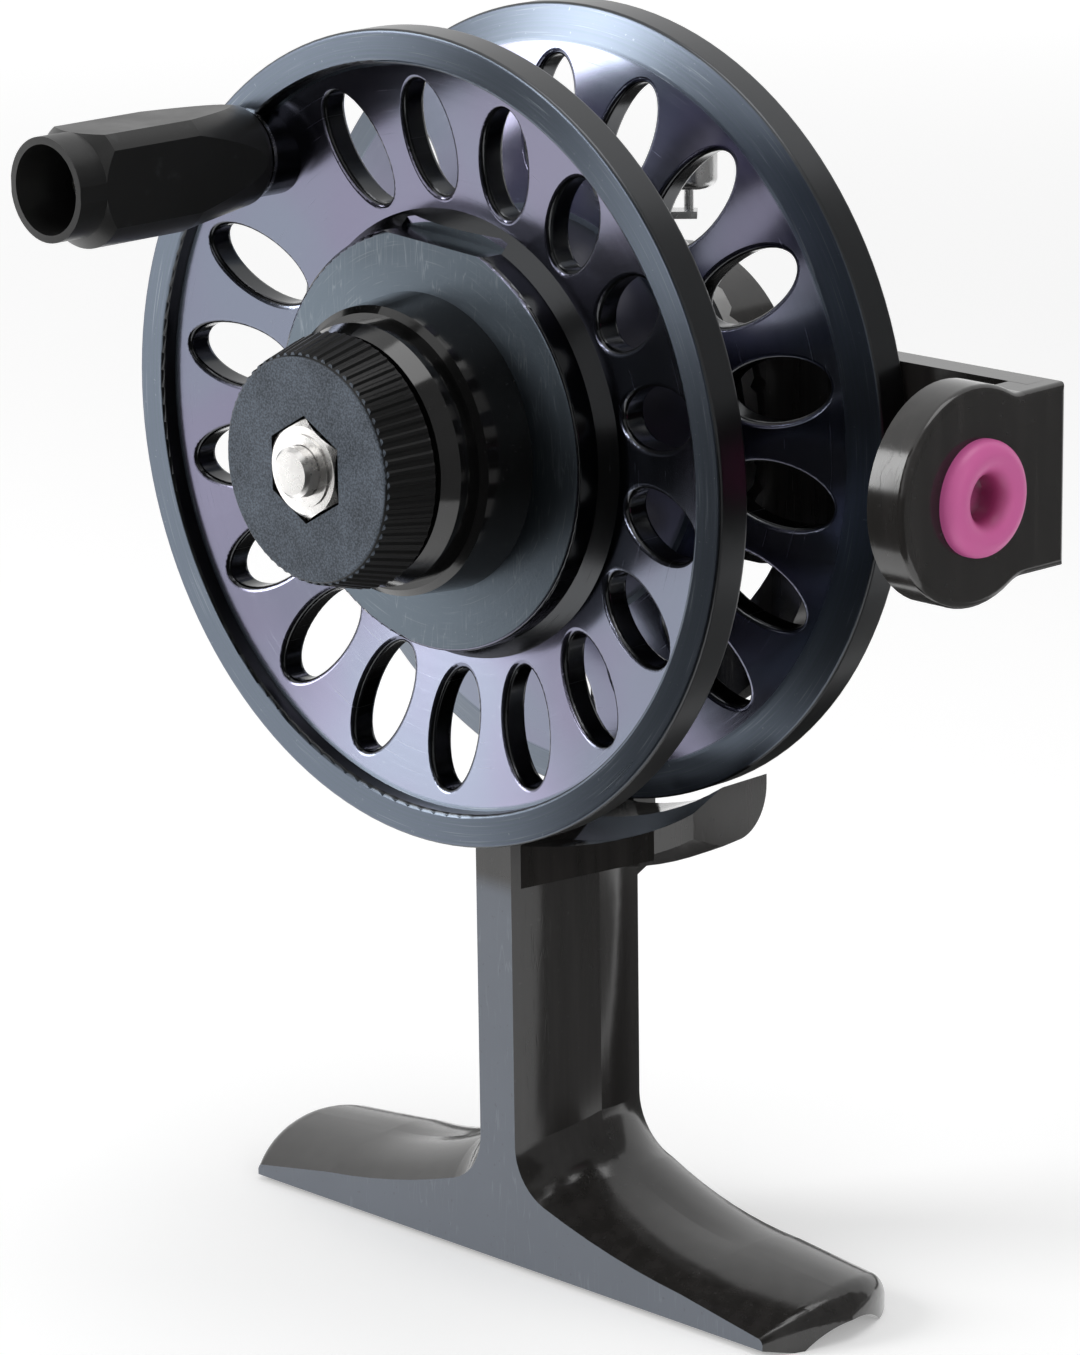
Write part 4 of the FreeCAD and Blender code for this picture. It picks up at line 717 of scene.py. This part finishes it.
class REEL_OT_studio(bpy.types.Operator):
    """Lay the pale floor and set the soft lights"""

    bl_idname = "reel.studio"
    bl_label = "Studio"

    def floor(self, studio):
        """A pale floor, white to the camera and to gloss, that keeps the shadow."""
        made = Finish("floor_white")
        sees = made.node("ShaderNodeLightPath", output="Is Camera Ray")
        for kind in ("Is Glossy Ray", "Is Transmission Ray"):
            sees = sees.highest(made.node("ShaderNodeLightPath", output=kind))
        mottle = made.noise(made.place, 6.0, 2.0)
        base = made.mix(mottle, studio.floor_colour, dimmed(studio.floor_colour, 0.985))
        matt = made.node("ShaderNodeBsdfDiffuse", None, {"Color": base})
        across = made.size(made.place)
        far = made.between(across, FAR_START, FAR_END)
        gloss = made.node("ShaderNodeLightPath", output="Is Glossy Ray")
        near = (1.0 - made.between(across, NEAR_START, NEAR_END)) * gloss
        glow_level = studio.floor_glow + far * studio.far_glow + near * studio.near_glow
        white = {"Color": (1, 1, 1), "Strength": sees * glow_level}
        glow = made.node("ShaderNodeEmission", None, white)
        both = made.node("ShaderNodeAddShader", None, {0: matt, 1: glow})
        made.node("ShaderNodeOutputMaterial", None, {"Surface": both})
        shape = bmesh.new()
        bmesh.ops.create_grid(shape, x_segments=1, y_segments=1, size=FLOOR_HALF)
        bmesh.ops.translate(shape, verts=shape.verts, vec=(0, 0, CAD_BOX[0][2]))
        floor = placed(shape, "studio_floor", made.material)

    def world(self, scene, studio):
        """Even light, and plain white for the camera, gloss and transmission."""
        scene.world = bpy.data.worlds.new("studio_world")
        scene.world.use_nodes = True
        tree = scene.world.node_tree
        path = tree.nodes.new("ShaderNodeLightPath")
        seen = path.outputs["Is Camera Ray"]
        for kind in ("Is Glossy Ray", "Is Transmission Ray"):
            either = tree.nodes.new("ShaderNodeMath")
            either.operation = "MAXIMUM"
            tree.links.new(seen, either.inputs[0])
            tree.links.new(path.outputs[kind], either.inputs[1])
            seen = either.outputs[0]
        strength = tree.nodes.new("ShaderNodeMapRange")
        strength.inputs["To Min"].default_value = studio.world_light
        strength.inputs["To Max"].default_value = 1.0
        background = tree.nodes["Background"]
        tree.links.new(seen, strength.inputs["Value"])
        tree.links.new(strength.outputs[0], background.inputs["Strength"])
        background.inputs["Color"].default_value = (1, 1, 1, 1)

    def lamp(self, studio, name, direction, distance, size):
        """A soft box, with its brightness as seen in a mirror."""
        data = bpy.data.lights.new(name, "AREA")
        data.shape = "RECTANGLE"
        data.size, data.size_y = size
        data.energy = getattr(studio, f"{name}_light") * pi * size[0] * size[1]
        lamp = bpy.data.objects.new(name, data)
        bpy.context.scene.collection.objects.link(lamp)
        aim = Vector(direction).normalized()
        turn = aim.to_track_quat("Z", "Y").to_matrix().to_4x4()
        place = Vector(studio.target) + aim * distance
        lamp.matrix_world = Matrix.Translation(place) @ turn
        lamp.visible_camera = studio.show_lamps

    def board(self, name, centre, facing, size, material):
        """A board beside the reel, seen only in its reflections."""
        shape = bmesh.new()
        bmesh.ops.create_grid(shape, x_segments=1, y_segments=1, size=0.5)
        bmesh.ops.scale(shape, verts=shape.verts, vec=(*size, 1.0))
        turn = Vector(facing).to_track_quat("Z", "Y").to_matrix().to_4x4()
        shape.transform(Matrix.Translation(centre) @ turn)
        board = placed(shape, name, material)
        board.visible_camera = False
        board.visible_diffuse = False
        board.visible_transmission = False
        board.visible_shadow = False

    def board_finish(self, name, tone):
        """Matt cloth of a board."""
        made = Finish(name)
        cloth = made.noise(made.place, 40.0, 2.0)
        base = made.mix(cloth, tone, dimmed(tone, 1.3))
        return made.surface(base_color=base, roughness=0.9)

    def execute(self, context):
        studio = context.scene.reel_studio
        self.floor(studio)
        cloths = {
            "grey": self.board_finish("board_grey", studio.side_board),
            "black": self.board_finish("board_black", studio.front_board),
        }
        for name, centre, facing, size, tone in BOARDS:
            self.board(name, centre, facing, size, cloths[tone])
        self.world(context.scene, studio)
        for name, direction, distance, size in LAMPS:
            self.lamp(studio, name, direction, distance, size)
        context.scene.view_settings.view_transform = "Standard"
        return {"FINISHED"}


class REEL_OT_spool(bpy.types.Operator):
    """Finish the spool's flanges, drum, screws and click ring"""

    bl_idname = "reel.spool"
    bl_label = "Spool"

    def execute(self, context):
        colours, sizes = context.scene.reel_colours, context.scene.reel_sizes
        wear(("spool_front_flange", "spool_rear_flange"), spool_finish(colours, sizes))
        wear(("spool_arbor",), drum_finish(colours))
        ratchet = plated_finish("ratchet_steel", colours.steel, SPOOL_AXIS, 0.3)
        wear(("click_ratchet_ring",), ratchet)
        screws = plated_finish("spool_screw_steel", colours.steel, SPOOL_AXIS)
        wear(("spool_screws",), screws)
        return {"FINISHED"}


class REEL_OT_hub(bpy.types.Operator):
    """Finish the hub cap, the brake washers, the knob with its ribs and its nut"""

    bl_idname = "reel.hub"
    bl_label = "Hub and Brake"

    def execute(self, context):
        colours, sizes = context.scene.reel_colours, context.scene.reel_sizes
        wear(("hub_cap",), cap_finish(colours))
        plastic = knob_finish(colours)
        wear(("drag_knob",), plastic)
        nut = plated_finish("nut_nickel", colours.nickel, SPOOL_AXIS, 0.2)
        wear(("hex_nut",), nut)
        axle = plated_finish("axle_nickel", colours.nickel, SPOOL_AXIS, 0.26)
        wear(("axle",), axle)
        wear(("friction_washer",), fibre_finish(colours))
        brake = plated_finish("brake_steel", colours.steel, SPOOL_AXIS, 0.28)
        wear(("thrust_washer", "drag_spring_washer"), brake)
        wear(("push_washer", "axle_lock_washer"), brake)
        radius = width("drag_knob", 0) / 2
        taper = (radius - sizes.knob_front) / sizes.knob_head
        front_radius = sizes.knob_front + taper * sizes.knob_edge
        band = ribbed_band(
            sizes.knurl_ribs,
            sizes.knurl_height,
            sizes.knurl_end,
            back=(radius, KNOB_FACE_Y + sizes.knob_head),
            front=(front_radius, KNOB_FACE_Y + sizes.knob_edge),
        )
        object_from(band, "knob_knurl", plastic, "brake_knob")
        return {"FINISHED"}


class REEL_OT_handle(bpy.types.Operator):
    """Finish the handle, its screw, sleeve and washer"""

    bl_idname = "reel.handle"
    bl_label = "Handle"

    def execute(self, context):
        colours = context.scene.reel_colours
        wear(("handle_grip",), handle_finish(colours))
        axis = middle("handle_screw")
        screw = plated_finish("handle_screw_nickel", colours.nickel, axis)
        wear(("handle_screw",), screw)
        sleeve = plated_finish("handle_sleeve_steel", colours.steel, axis)
        wear(("handle_sleeve",), sleeve)
        washer = plated_finish("handle_washer_steel", colours.steel, axis)
        wear(("handle_washer",), washer)
        return {"FINISHED"}


class REEL_OT_frame(bpy.types.Operator):
    """Finish the moulded frame, its rear cover and screws"""

    bl_idname = "reel.frame"
    bl_label = "Frame"

    def execute(self, context):
        colours = context.scene.reel_colours
        wear(("frame", "rear_cover"), moulding_finish(colours))
        screws = plated_finish("cover_screw_steel", colours.steel, SPOOL_AXIS)
        wear(("rear_cover_screws",), screws)
        return {"FINISHED"}


class REEL_OT_guide(bpy.types.Operator):
    """Finish the pink line ring"""

    bl_idname = "reel.guide"
    bl_label = "Line Guide"

    def execute(self, context):
        colours, sizes = context.scene.reel_colours, context.scene.reel_sizes
        wear(("guide_ring",), ring_finish(colours, sizes))
        return {"FINISHED"}


class REEL_OT_bearings(bpy.types.Operator):
    """Finish the two ball bearings and the tubes between them"""

    bl_idname = "reel.bearings"
    bl_label = "Bearings"

    def execute(self, context):
        steel = context.scene.reel_colours.steel
        rings = plated_finish("bearing_steel", steel, SPOOL_AXIS, 0.14)
        for end in ("front", "rear"):
            parts = ("outer_ring", "inner_ring", "balls")
            wear([f"{end}_bearing_{part}" for part in parts], rings)
        tubes = plated_finish("spacer_steel", steel, SPOOL_AXIS, 0.32)
        wear(("bearing_spacer", "rear_stand_off"), tubes)
        return {"FINISHED"}


class REEL_OT_click(bpy.types.Operator):
    """Finish the click lever, its knob and its screw"""

    bl_idname = "reel.click"
    bl_label = "Click"

    def execute(self, context):
        tone = context.scene.reel_colours.click_metal
        metal = plated_finish("click_knob_metal", tone, middle("click_knob"), 0.24)
        wear(("click_knob", "click_lever", "click_lever_screw"), metal)
        return {"FINISHED"}


OPERATORS = (
    REEL_OT_camera,
    REEL_OT_studio,
    REEL_OT_spool,
    REEL_OT_hub,
    REEL_OT_handle,
    REEL_OT_frame,
    REEL_OT_guide,
    REEL_OT_bearings,
    REEL_OT_click,
)


class REEL_PT_sidebar(bpy.types.Panel):
    """Lists the reel's pieces and their settings"""

    bl_label = "Ice Fishing Reel"
    bl_idname = "REEL_PT_sidebar"
    bl_space_type = "VIEW_3D"
    bl_region_type = "UI"
    bl_category = "Reel"

    def draw(self, context):
        for made in OPERATORS:
            self.layout.operator(made.bl_idname)
        scene = context.scene
        for group in (scene.reel_sizes, scene.reel_colours, scene.reel_studio):
            box = self.layout.box()
            for name in group.__annotations__:
                box.prop(group, name)


CLASSES = (ReelSizes, ReelColours, ReelStudio, *OPERATORS, REEL_PT_sidebar)


def register():
    for made in CLASSES:
        bpy.utils.register_class(made)
    bpy.types.Scene.reel_sizes = PointerProperty(type=ReelSizes)
    bpy.types.Scene.reel_colours = PointerProperty(type=ReelColours)
    bpy.types.Scene.reel_studio = PointerProperty(type=ReelStudio)


def unregister():
    del bpy.types.Scene.reel_studio
    del bpy.types.Scene.reel_colours
    del bpy.types.Scene.reel_sizes
    for made in reversed(CLASSES):
        bpy.utils.unregister_class(made)


def main():
    """Make everything in order."""
    register()
    for made in OPERATORS:
        group, name = made.bl_idname.split(".")
        getattr(getattr(bpy.ops, group), name)()


if __name__ == "__main__":
    main()
